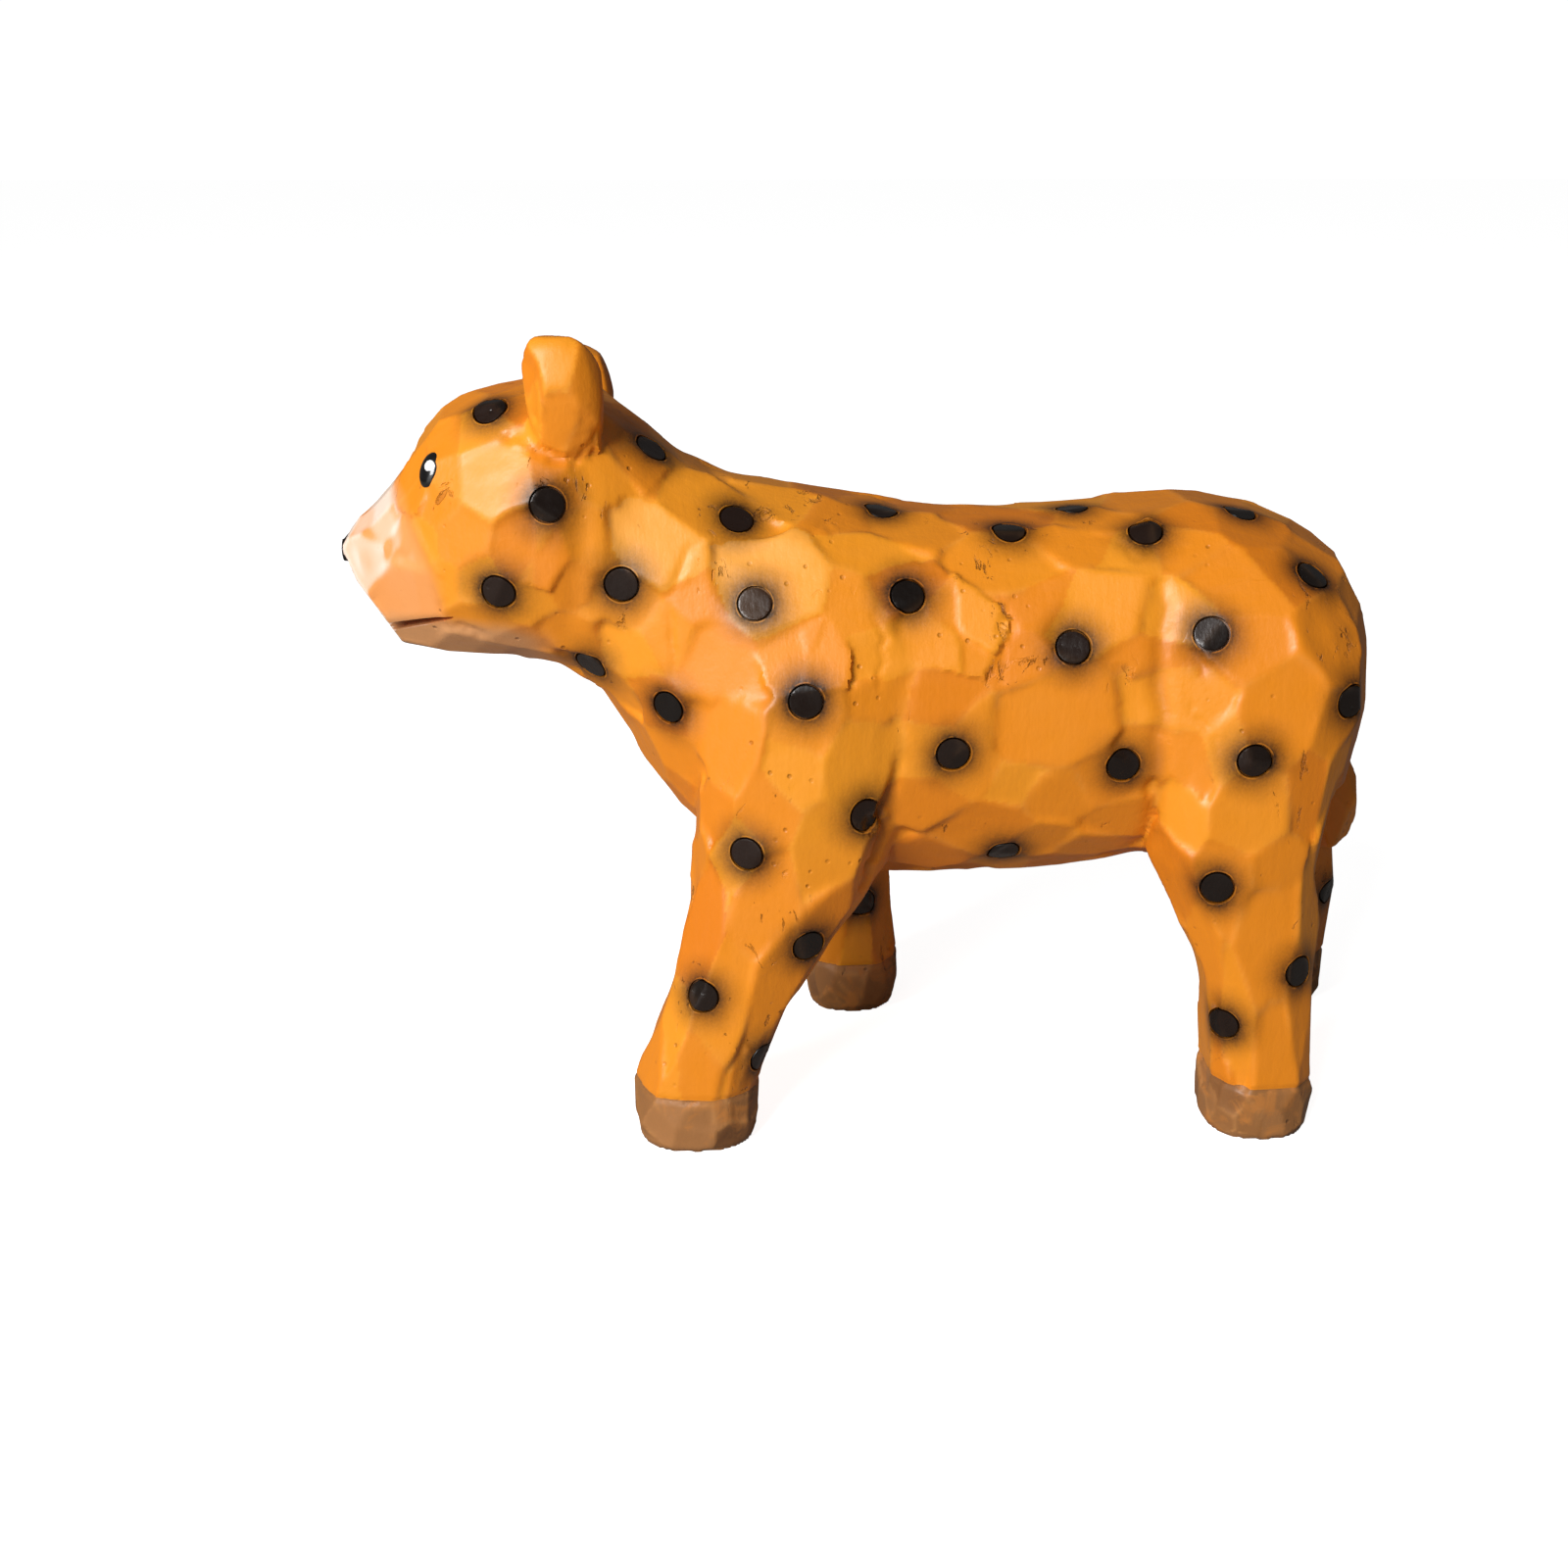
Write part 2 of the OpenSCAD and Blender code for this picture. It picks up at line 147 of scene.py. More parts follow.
def new_object(name: str, mesh: bpy.types.Mesh) -> bpy.types.Object:
    """Links a new object at the origin for a mesh.

    Args:
        name: Name of the piece.
        mesh: Its mesh, already in the row frame.

    Returns:
        The linked object.
    """
    mesh.name = name
    obj = bpy.data.objects.new(name, mesh)
    bpy.context.scene.collection.objects.link(obj)
    return obj


def bmesh_object(name: str, bm: bmesh.types.BMesh) -> bpy.types.Object:
    """Turns a bmesh into a linked object with outward faces."""
    bmesh.ops.recalc_face_normals(bm, faces=bm.faces)
    mesh = bpy.data.meshes.new(name)
    bm.to_mesh(mesh)
    bm.free()
    return new_object(name, mesh)


@contextmanager
def edited(mesh: bpy.types.Mesh) -> Iterator[bmesh.types.BMesh]:
    """Opens a mesh for bmesh operators and writes the result back."""
    bm = bmesh.new()
    bm.from_mesh(mesh)
    yield bm
    bm.to_mesh(mesh)
    bm.free()


def stood(place: Vector, axis: Vector) -> Matrix:
    """Stands something made along Z on a place, along an axis."""
    turn = Vector((0, 0, 1)).rotation_difference(axis)
    return Matrix.Translation(place) @ turn.to_matrix().to_4x4()


def merged_copy(name: str, nodes: Iterable[str]) -> bpy.types.Object:
    """One object that holds copies of CAD nodes, with split corners joined."""
    bm = bmesh.new()
    for node in nodes:
        bm.from_mesh(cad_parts[node].data)
    bmesh.ops.remove_doubles(bm, verts=bm.verts, dist=WELD)
    return bmesh_object(name, bm)


def baked(obj: bpy.types.Object) -> None:
    """Applies an object's modifiers to its mesh."""
    graph = bpy.context.evaluated_depsgraph_get()
    mesh = bpy.data.meshes.new_from_object(obj.evaluated_get(graph))
    old = obj.data
    obj.modifiers.clear()
    obj.data = mesh
    bpy.data.meshes.remove(old)


def drop(obj: bpy.types.Object) -> None:
    """Removes a helper object."""
    bpy.data.objects.remove(obj, do_unlink=True)


def voxel_skin(obj: bpy.types.Object, size: float) -> None:
    """Closes an object's pieces into one skin and keeps its largest shell."""
    mod = obj.modifiers.new("skin", "REMESH")
    mod.mode = "VOXEL"
    mod.voxel_size = size
    baked(obj)
    keep_largest(obj.data)


def shells(mesh: bpy.types.Mesh) -> np.ndarray:
    """Labels every vertex with the lowest vertex number of its connected shell."""
    pairs = edges_of(mesh)
    label = np.arange(len(mesh.vertices))
    while True:
        low = np.minimum(label[pairs[:, 0]], label[pairs[:, 1]])
        new = label.copy()
        np.minimum.at(new, pairs[:, 0], low)
        np.minimum.at(new, pairs[:, 1], low)
        new = new[new]
        if (new == label).all():
            return label
        label = new


def keep_largest(mesh: bpy.types.Mesh) -> None:
    """Deletes every shell but the one with the most vertices."""
    label = shells(mesh)
    names, counts = np.unique(label, return_counts=True)
    if len(names) < 2:
        return
    keep = label == names[counts.argmax()]
    with edited(mesh) as bm:
        bmesh.ops.delete(bm, geom=[v for v, k in zip(bm.verts, keep) if not k], context="VERTS")


def smooth(
    co: np.ndarray, pairs: np.ndarray, rounds: int, pull: float = 0.5, push: float = -0.52
) -> np.ndarray:
    """Evens out positions over a mesh without shrinking it.

    Args:
        co: Positions.
        pairs: Edge vertex pairs.
        rounds: How many pull and push rounds.
        pull: Share moved towards the neighbours' mean.
        push: Share moved back; 0 lets the mesh shrink.

    Returns:
        The new positions.
    """
    n = len(co)
    a, b = pairs[:, 0], pairs[:, 1]
    degree = np.maximum(np.bincount(a, minlength=n) + np.bincount(b, minlength=n), 1)[:, None]
    out = co.copy()
    for _ in range(rounds):
        for share in (pull, push):
            if share:
                mean = np.empty_like(out)
                for k in range(out.shape[1]):
                    mean[:, k] = np.bincount(a, out[b, k], n) + np.bincount(b, out[a, k], n)
                out += share * (mean / degree - out)
    return out


def nearest(points: np.ndarray, centres: np.ndarray, count: int) -> tuple[np.ndarray, np.ndarray]:
    """The nearest centres of every point.

    Args:
        points: (n, 3) positions.
        centres: (m, 3) positions.
        count: How many to find.

    Returns:
        Indices and distances, each (n, count), nearest first.
    """
    count = min(count, len(centres))
    ids = np.empty((len(points), count), dtype=np.int64)
    away = np.empty((len(points), count))
    for start in range(0, len(points), CHUNK):
        rows = slice(start, start + CHUNK)
        part = points[rows]
        d2 = (part**2).sum(1)[:, None] - 2 * part @ centres.T + (centres**2).sum(1)[None]
        near = np.argpartition(d2, count - 1, axis=1)[:, :count]
        dist = np.sqrt(np.maximum(np.take_along_axis(d2, near, 1), 0))
        order = dist.argsort(1)
        ids[rows] = np.take_along_axis(near, order, 1)
        away[rows] = np.take_along_axis(dist, order, 1)
    return ids, away


def write_attribute(mesh: bpy.types.Mesh, name: str, values: np.ndarray) -> None:
    """Stores one number per vertex for a material to read."""
    attr = mesh.attributes.get(name) or mesh.attributes.new(name, "FLOAT", "POINT")
    attr.data.foreach_set("value", np.asarray(values, dtype=np.float32))


def boolean(obj: bpy.types.Object, tool: bpy.types.Object, operation: str) -> None:
    """Cuts obj with a closed tool, leaving the tool in place."""
    mod = obj.modifiers.new("cut", "BOOLEAN")
    mod.operation = operation
    mod.solver = "MANIFOLD"
    mod.object = tool
    baked(obj)


def copied(obj: bpy.types.Object, name: str) -> bpy.types.Object:
    """A copy of an object with its own mesh."""
    return new_object(name, obj.data.copy())


# ---------------------------------------------------------------- carving


@dataclass(frozen=True)
class KnifeWork:
    """How a region is faceted.

    Args:
        spacing: Distance between cuts, in metres.
        spread: Random share of that distance.
        depth: Deepest extra bite of a cut.
        tilt: Largest lean of a cut from the surface, in radians.
        hollow: How much a cut curves up away from its middle, per metre.
    """

    spacing: float = 8.5 * MM
    spread: float = 0.5
    depth: float = 0.16 * MM
    tilt: float = 0.085
    hollow: float = 1.6


@dataclass(frozen=True)
class ChosenCut:
    """A broad cut at a chosen place, leaning towards the light.

    Args:
        x: Place along the body, in millimetres.
        z: Height, in millimetres.
        size: Distance that it keeps from other cuts, in metres.
        side: -1 for the left flank, 1 for the right.
        face: Way that it should look.
        most: Largest lean from the surface, in radians.
        tone: Paint tone, 0 for deep and 1 for light; above 1 it lays the pale worn colour on as a painted
            highlight where the key light's sheen falls.
    """

    x: float
    z: float
    size: float
    side: int = -1
    face: tuple[float, float, float] = (-0.26, -0.85, 0.45)
    most: float = 0.07
    tone: float = 0.9

    def vertex(self, co: np.ndarray, no: np.ndarray) -> int:
        """The skin's vertex at this place."""
        away = np.hypot(co[:, 0] - self.x * MM, co[:, 2] - self.z * MM)
        away = away + np.where(no[:, 1] * self.side > 0.25, 0, 1) - 0.05 * co[:, 1] * self.side
        return int(away.argmin())

    def lean(self, normal: np.ndarray) -> np.ndarray:
        """The surface normal, turned towards the cut's own way by no more than its limit."""
        want = np.array(self.face) * (1, -self.side, 1)
        want = want / np.linalg.norm(want)
        angle = math.acos(float(np.clip(want @ normal, -1, 1)))
        share = min(1.0, self.most / max(angle, 1e-6))
        return normal + (want - normal) * share


# Broad cuts where the key light's sheen falls on the facets; the tones above 1 paint that sheen on as a
# painted highlight.
CHOSEN = (
    ChosenCut(-52.0, 92.5, 10.5 * MM, most=0.13),
    ChosenCut(-47.5, 83.0, 7.5 * MM, tone=0.7),
    ChosenCut(-31.5, 83.5, 9.0 * MM, most=0.1, tone=1.2),
    ChosenCut(-17.0, 79.0, 13.0 * MM, most=0.1, tone=1.3),
    ChosenCut(-13.0, 70.5, 9.0 * MM, most=0.02, tone=0.7),
    ChosenCut(36.8, 75.0, 7.5 * MM, most=0.1, tone=1.15),
    ChosenCut(36.0, 64.0, 7.5 * MM),
    ChosenCut(7.0, 73.0, 11.0 * MM, most=0.1),
    ChosenCut(27.0, 76.0, 11.0 * MM),
    ChosenCut(-63.5, 91.0, 7.5 * MM, face=(-0.62, -0.62, 0.48), most=0.12, tone=0.5),
)


class Facets:
    """Knife cuts over a skin: each cut flattens its own patch, and neighbouring cuts meet in soft ridges."""

    FACING = 7.0 * MM  # how far off a cut seems when it faces the other way
    BITE = 1.5  # how much a deeper cut wins over a nearer one
    SOFT = 2 * 0.26 * MM  # width of the ridge between two cuts
    TRIES = 40000
    NEAR = 12

    def __init__(
        self, work: KnifeWork, seed: int, spacing_at: Callable[[np.ndarray], np.ndarray] | None = None
    ):
        self.work = work
        self.rng = np.random.default_rng(seed)
        self.spacing_at = spacing_at

    @staticmethod
    def squashed(co: np.ndarray) -> np.ndarray:
        """Positions with the legs' height halved, so that cuts there run long and upright."""
        out = co.copy()
        out[:, 2] = np.interp(co[:, 2] / MM, (0, 9, 38, 120), (9, 18, 32, 114)) * MM
        return out

    def choose(self, co: np.ndarray, no: np.ndarray, chosen_cuts: Sequence[ChosenCut]) -> np.ndarray:
        """Picks the vertices where cuts are made, the chosen ones first.

        Args:
            co: Vertex positions.
            no: Vertex normals.
            chosen_cuts: Cuts at chosen places.

        Returns:
            Vertex numbers.
        """
        wanted = self.spacing_at(co) if self.spacing_at else np.full(len(co), self.work.spacing)
        wanted = wanted * (1 + self.work.spread * self.rng.uniform(-1, 1, len(co)))
        first = [cut.vertex(co, no) for cut in chosen_cuts]
        for i, cut in zip(first, chosen_cuts):
            wanted[i] = cut.size
        co = self.squashed(co)
        cell = float(wanted.max())
        keys = np.floor(co / cell).astype(int)
        grid: dict[tuple[int, int, int], list[int]] = {}
        chosen: list[int] = []
        around = [(x, y, z) for x in (-1, 0, 1) for y in (-1, 0, 1) for z in (-1, 0, 1)]
        for i in [*first, *self.rng.permutation(len(co))[: self.TRIES]]:
            kx, ky, kz = keys[i]
            near = [j for x, y, z in around for j in grid.get((kx + x, ky + y, kz + z), ())]
            if near and i not in first:
                gap = co[near] - co[i]
                facing = no[near] @ no[i] > 0.2
                reach = 0.5 * (wanted[near] + wanted[i])
                if ((gap**2).sum(1)[facing] < reach[facing] ** 2).any():
                    continue
            grid.setdefault((kx, ky, kz), []).append(int(i))
            chosen.append(int(i))
        self.size = wanted[chosen]
        return np.array(chosen)

    def rank(self, co: np.ndarray, no: np.ndarray, count: int) -> tuple[np.ndarray, np.ndarray]:
        """The cuts that lie closest to each vertex, by place and by the way they face.

        Args:
            co: Vertex positions.
            no: Vertex normals.
            count: How many cuts to give.

        Returns:
            Cut numbers and squared distances, nearest first.
        """
        co = self.squashed(co)
        ids, _ = nearest(co, self.seed_at, self.NEAR)
        gap = co[:, None] - self.seed_at[ids]
        run = (gap * self.grain[ids]).sum(2)
        away = (gap**2).sum(2) - self.stretch[ids] * run**2
        away += self.FACING**2 * ((no[:, None] - self.seed_normal[ids]) ** 2).sum(2)
        away -= (0.45 * self.size[ids]) ** 2
        order = away.argsort(1)[:, :count]
        return np.take_along_axis(ids, order, 1), np.take_along_axis(away, order, 1)

    def place(self, co: np.ndarray, no: np.ndarray, chosen_cuts: Sequence[ChosenCut] = ()) -> None:
        """Chooses the cuts and fits a plane to each one's patch.

        Args:
            co: Vertex positions.
            no: Vertex normals.
            chosen_cuts: Cuts to make first, at chosen places.
        """
        work, rng = self.work, self.rng
        picked = self.choose(co, no, chosen_cuts)
        count = len(picked)
        self.seed_at, self.seed_normal = self.squashed(co[picked]), no[picked]
        grain = rng.normal(0, 1, (count, 3))
        grain -= (grain * self.seed_normal).sum(1)[:, None] * self.seed_normal
        self.grain = grain / np.linalg.norm(grain, axis=1)[:, None]
        self.stretch = rng.uniform(0, 0.5, count)
        mine = self.rank(co, no, 1)[0][:, 0]
        share = np.maximum(np.bincount(mine, minlength=count), 1)[:, None]
        self.middle = np.stack([np.bincount(mine, co[:, k], count) for k in range(3)], 1) / share
        normal = np.stack([np.bincount(mine, no[:, k], count) for k in range(3)], 1) + self.seed_normal
        normal /= np.linalg.norm(normal, axis=1)[:, None]
        lean = np.cross(normal, rng.normal(0, 1, (count, 3)))
        lean /= np.linalg.norm(lean, axis=1)[:, None]
        plane = normal + lean * (work.tilt * rng.uniform(0.1, 1, count))[:, None]
        self.tone = rng.uniform(0, 1, count)
        for k, cut in enumerate(chosen_cuts):
            plane[k] = cut.lean(normal[k])
            self.tone[k] = cut.tone
        self.normal = plane / np.linalg.norm(plane, axis=1)[:, None]
        self.sink = work.depth * rng.uniform(-0.4, 1, count)
        self.dish = work.hollow * rng.uniform(-0.2, 1.4, count)

    def cut(
        self, co: np.ndarray, no: np.ndarray, limit: float = 0.85 * MM
    ) -> tuple[np.ndarray, np.ndarray, np.ndarray]:
        """Cuts a skin.

        Args:
            co: Vertex positions.
            no: Vertex normals.
            limit: Deepest that a cut may go.

        Returns:
            New positions, the winning cut of each vertex, and how close each vertex is to a ridge.
        """
        ids, away = self.rank(co, no, 5)
        gap = self.middle[ids] - co[:, None]
        along = np.maximum((no[:, None] * self.normal[ids]).sum(2), 0.5)
        level = (gap * self.normal[ids]).sum(2) / along - self.sink[ids] + self.dish[ids] * (gap**2).sum(2)
        level = limit * np.tanh(level / limit)
        step = np.sqrt(np.maximum(((self.seed_at[ids[:, 0]] - self.seed_at[ids[:, 1]]) ** 2).sum(1), 1e-9))
        score = away + self.BITE * 2 * step[:, None] * level
        order = score.argsort(1)[:, :2]
        best = np.take_along_axis(score, order, 1)
        soft = self.SOFT * step
        weight = np.exp(-(score - best[:, :1]) / soft[:, None])
        weight /= weight.sum(1)[:, None]
        depth = (weight * level).sum(1)
        ridge = np.exp(-(best[:, 1] - best[:, 0]) / (1.5 * soft))
        return co + no * depth[:, None], np.take_along_axis(ids, order[:, :1], 1)[:, 0], ridge


@dataclass(frozen=True)
class Groove:
    """A carved line on one side of the skin, given by the points it runs through.

    Args:
        points: (x, z) places along it, in millimetres.
        side: -1 for the left flank, 1 for the right.
        depth: How deep it is, in metres.
        width: Half its width, in metres.
        ragged: Share of its depth that comes and goes.
    """

    points: tuple[tuple[float, float], ...]
    side: int
    depth: float
    width: float
    ragged: float = 0.4

    def bite(self, co: np.ndarray, no: np.ndarray, seed: int) -> np.ndarray:
        """Depth of the groove at each vertex, tapering at its ends."""
        rng = np.random.default_rng(seed)
        line = np.array(self.points) * MM
        steps = np.linspace(0, 1, 12, endpoint=False)
        runs = [a + (b - a) * steps[:, None] for a, b in zip(line[:-1], line[1:])]
        fine = np.concatenate([*runs, line[-1:]])
        share = np.linspace(0, 1, len(fine))
        knots = np.linspace(0, 1, 4 + 2 * len(line))
        for axis in (0, 1):
            fine[:, axis] += np.interp(share, knots, rng.normal(0, 0.35 * MM, len(knots)))
        strength = np.sin(np.pi * share) ** 0.6
        strength = strength * (1 - self.ragged * np.interp(share, knots, rng.uniform(0, 1, len(knots))))
        flank = np.flatnonzero((co[:, 1] * self.side > 4 * MM) & (no[:, 1] * self.side > -0.2))
        flat = co[flank][:, [0, 2]]
        reach = 4 * self.width
        low, high = fine.min(0) - reach, fine.max(0) + reach
        inside = ((flat > low) & (flat < high)).all(1)
        flank, flat = flank[inside], flat[inside]
        out = np.zeros(len(co))
        if len(flank):
            d2 = ((flat[:, None] - fine[None]) ** 2).sum(2)
            near = d2.argmin(1)
            gap = np.sqrt(d2[np.arange(len(flank)), near])
            out[flank] = self.depth * strength[near] * np.exp(-((gap / self.width) ** 2))
        return out


MUZZLE_RIDGE = ((-65.5, 89.0), (-62.6, 84.0), (-60.3, 79.5), (-60.6, 75.5))

GROOVES = (
    Groove(
        ((33.9, 80.0), (33.7, 76.0), (33.2, 66.0), (33.9, 55.0), (34.4, 45.0), (33.5, 38.0)),
        -1, 0.8 * MM, 1.3 * MM,
    ),
    Groove(((33.5, 77.0), (32.6, 73.0), (33.2, 68.0)), -1, 0.7 * MM, 0.5 * MM, 0.8),
    Groove(((35.5, 80.0), (34.0, 70.0), (34.4, 55.0), (34.0, 42.0)), 1, 0.8 * MM, 1.3 * MM),
    Groove(((-1.0, 58.0), (-1.6, 50.0), (-3.4, 42.0), (-5.5, 38.0)), -1, 1.1 * MM, 0.8 * MM),
    Groove(((2.0, 58.0), (2.6, 50.0), (3.4, 42.0)), 1, 1.1 * MM, 0.8 * MM),
    Groove(
        ((-41.5, 99.0), (-41.2, 91.0), (-42.0, 84.0), (-43.0, 76.0), (-44.5, 70.0)), -1, 0.5 * MM, 1.7 * MM
    ),
    Groove(((-41.5, 99.0), (-41.5, 88.0), (-43.0, 76.0), (-44.5, 70.0)), 1, 0.5 * MM, 1.7 * MM),
    Groove(
        ((-25.5, 86.0), (-28.5, 81.0), (-30.5, 77.0), (-30.0, 70.0), (-31.5, 60.0)),
        -1, 0.55 * MM, 0.55 * MM, 0.9,
    ),
    Groove(((-26.0, 85.0), (-29.5, 78.0), (-30.5, 66.0)), 1, 0.55 * MM, 0.55 * MM, 0.9),
    Groove(((13.0, 77.0), (12.6, 71.0), (13.0, 64.0)), -1, 0.4 * MM, 0.45 * MM, 0.9),
    Groove(
        ((-48.6, 98.0), (-46.6, 96.0), (-43.5, 95.2), (-40.3, 96.0), (-38.0, 99.0)),
        -1, 0.6 * MM, 0.7 * MM, 0.2,
    ),
    Groove(
        ((-48.6, 94.0), (-46.6, 92.0), (-43.5, 91.2), (-40.3, 92.0), (-38.0, 95.0)),
        1, 0.6 * MM, 0.7 * MM, 0.2,
    ),
    Groove(MUZZLE_RIDGE, -1, -0.3 * MM, 0.7 * MM, 0.1),
    Groove(MUZZLE_RIDGE, 1, -0.3 * MM, 0.7 * MM, 0.1),
    Groove(((-59.8, 73.6), (-57.0, 72.2), (-54.0, 71.0)), -1, 0.35 * MM, 0.5 * MM, 0.4),
    Groove(((-3.5, 76.0), (-3.0, 71.0), (-4.0, 66.0)), -1, 0.35 * MM, 0.4 * MM, 0.8),
    Groove(((-14.5, 84.0), (-11.0, 85.5), (-6.5, 85.0)), -1, 0.3 * MM, 0.4 * MM, 0.8),
    Groove(((25.0, 84.5), (31.0, 81.5), (38.0, 82.5)), -1, 0.3 * MM, 0.4 * MM, 0.7),
    Groove(((37.0, 64.5), (39.5, 61.0), (41.0, 57.5)), -1, 0.3 * MM, 0.4 * MM, 0.8),
)


def ear_zone(co: np.ndarray) -> np.ndarray:
    """Which positions lie on the ears."""
    out = np.zeros(len(co), dtype=bool)
    for node in EARS:
        low, high = (np.array(c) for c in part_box(node))
        low = low + np.array((-1.5, -1.5, 3.5)) * MM
        out |= ((co > low) & (co < high + 1.5 * MM)).all(1)
    return out


@dataclass
class CarvedSkin:
    """The one skin that the trunk, legs, feet and ears are sawn from."""

    voxel: float = 0.45 * MM
    ease: int = 24
    ankle: float = 0.28 * MM
    margin: float = 0.03 * MM
    nose_step: float = 0.35 * MM
    sole: float = 0.35 * MM
    crease_shade_depth: float = 0.8 * MM
    seed: int = 11
    groove_seed: int = 40
    works: KnifeWork = field(default_factory=KnifeWork)

    def spacing(self, co: np.ndarray) -> np.ndarray:
        """Distance between knife cuts at each place, finer on the head, legs and feet."""
        x, z = co[:, 0] / MM, co[:, 2] / MM
        out = np.full(len(co), 9.4)
        neck, head, muzzle = x < -26, x < -40, x < -60
        legs, feet = (z < 36) & (x > -38), z < 9
        zones = ((neck, 7.2), (head, 6.4), (muzzle, 5.6), (ear_zone(co), 4.6), (legs, 6.8), (feet, 3.6))
        for zone, gap in zones:
            out[zone] = gap
        return out * MM

    def mouth_plug(self) -> bpy.types.Object:
        """A slab that closes the CAD head's mouth, so that the mouth can be cut again in the carved skin."""
        bm = bmesh.new()
        bm.from_mesh(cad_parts["head_block"].data)
        bmesh.ops.remove_doubles(bm, verts=bm.verts, dist=WELD)
        away = [f for f in bm.faces if f.normal.dot(MOUTH_DOWN) < 0.999 or f.calc_center_median().z > 76 * MM]
        bmesh.ops.delete(bm, geom=away, context="FACES")
        made = bmesh.ops.extrude_face_region(bm, geom=list(bm.faces), use_keep_orig=True)
        moved = [v for v in made["geom"] if isinstance(v, bmesh.types.BMVert)]
        bmesh.ops.translate(bm, verts=moved, vec=MOUTH_DOWN * 0.75 * MM)
        bmesh.ops.translate(bm, verts=bm.verts, vec=MOUTH_DOWN * -0.05 * MM)
        return bmesh_object("mouth_plug", bm)

    def build(self) -> bpy.types.Object:
        """Makes the closed, carved skin.

        Returns:
            The skin, with tone, ridge and groove stored on its vertices; groove is the painted shade of the
            carved creases.
        """
        blocks = [block.value for block in Block]
        raw = merged_copy("skin", [*blocks, *FEET, *DOWELS, *SPOTS, *EARS, *EYES, "nose_tip"])
        plug = self.mouth_plug()
        with edited(raw.data) as bm:
            bm.from_mesh(plug.data)
        drop(plug)
        voxel_skin(raw, self.voxel)
        pairs = edges_of(raw.data)
        move_to(raw.data, smooth(points_of(raw.data), pairs, self.ease))
        self.carve(raw.data, pairs)
        return raw

    def carve(self, mesh: bpy.types.Mesh, pairs: np.ndarray) -> None:
        """Facets and grooves the skin, keeping soles flat and everything inside the CAD box."""
        co, no = points_of(mesh), normals_of(mesh)
        facets = Facets(self.works, self.seed, self.spacing)
        facets.place(co, no, CHOSEN)
        cut, winner, ridge = facets.cut(co, no)
        z = co[:, 2]
        rigid = (np.clip((z - 0.3 * MM) / (1.2 * MM), 0, 1) * np.where(ear_zone(co), 0.5, 1))[:, None]
        cut = co + (cut - co) * rigid
        cut = smooth(cut, pairs, 1, 0.45, 0)
        groove = np.zeros(len(co))
        for k, line in enumerate(GROOVES):
            bite = line.bite(co, no, self.groove_seed + k)
            groove = np.where(np.abs(bite) > np.abs(groove), bite, groove)
        band = self.ankle * np.exp(-(((z - FOOT_TOP) / (0.32 * MM)) ** 2))
        cut = cut - no * (groove + band)[:, None]
        low, high = (np.array(c) for c in FRAME_BOUNDS)
        low = low + (self.nose_step, 0, 0)
        cut = np.clip(cut, low + self.margin, high - self.margin)
        cut[:, 2] = np.where(z < self.sole, low[2], cut[:, 2])
        move_to(mesh, cut)
        write_attribute(mesh, "tone", facets.tone[winner])
        write_attribute(mesh, "ridge", ridge)
        # Painted shade: the groove mask darkens the paint in the carved creases, more where they are deeper.
        write_attribute(mesh, "groove", 0.55 * np.clip(groove / self.crease_shade_depth - 0.25, 0, 1))
        log.info("carved skin: %d cuts over %d vertices", len(facets.tone), len(co))


# ---------------------------------------------------------------- spots


@dataclass(frozen=True)
class Flat:
    """A flat face of a CAD node: its area, middle and outward direction."""

    area: float
    middle: Vector
    normal: Vector


def flats(polygons: Iterable[bpy.types.MeshPolygon], fineness: int) -> list[Flat]:
    """Joins polygons that look the same way.

    Args:
        polygons: Polygons of one solid.
        fineness: Steps to which each part of a normal is rounded.

    Returns:
        The flat faces, largest first.
    """
    sums: dict[tuple[int, ...], list] = {}
    for poly in polygons:
        key = tuple(round(c * fineness) for c in poly.normal)
        entry = sums.setdefault(key, [0.0, Vector(), Vector()])
        entry[0] += poly.area
        entry[1] += poly.center * poly.area
        entry[2] += poly.normal * poly.area
    found = [Flat(area, middle / area, normal.normalized()) for area, middle, normal in sums.values()]
    return sorted(found, key=lambda f: -f.area)


@dataclass(frozen=True)
class Peg:
    """One black spot plug: where it surfaces, which way it points and its node."""

    node: str
    centre: Vector
    axis: Vector


def read_pegs(skin: BVHTree) -> list[Peg]:
    """Finds every spot plug in the CAD nodes by its flat outer end.

    Args:
        skin: Search tree of the carved skin.

    Returns:
        The pegs.
    """

    def clear(end: Flat) -> float:
        """How far a point just beyond an end lies outside the skin."""
        probe = end.middle + end.normal * 1.5 * MM
        spot, outward, _, _ = skin.find_nearest(probe)
        return (probe - spot).dot(outward)

    pegs = []
    for node in SPOTS:
        plugs = merged_copy("plugs", [node])
        solids: dict[int, list] = {}
        label = shells(plugs.data)
        for poly in plugs.data.polygons:
            solids.setdefault(label[poly.vertices[0]], []).append(poly)
        for polygons in solids.values():
            outer = max(flats(polygons, 40)[:2], key=clear)
            pegs.append(Peg(node, outer.middle, outer.normal))
        drop(plugs)
    log.info("spots: %d plugs", len(pegs))
    return pegs


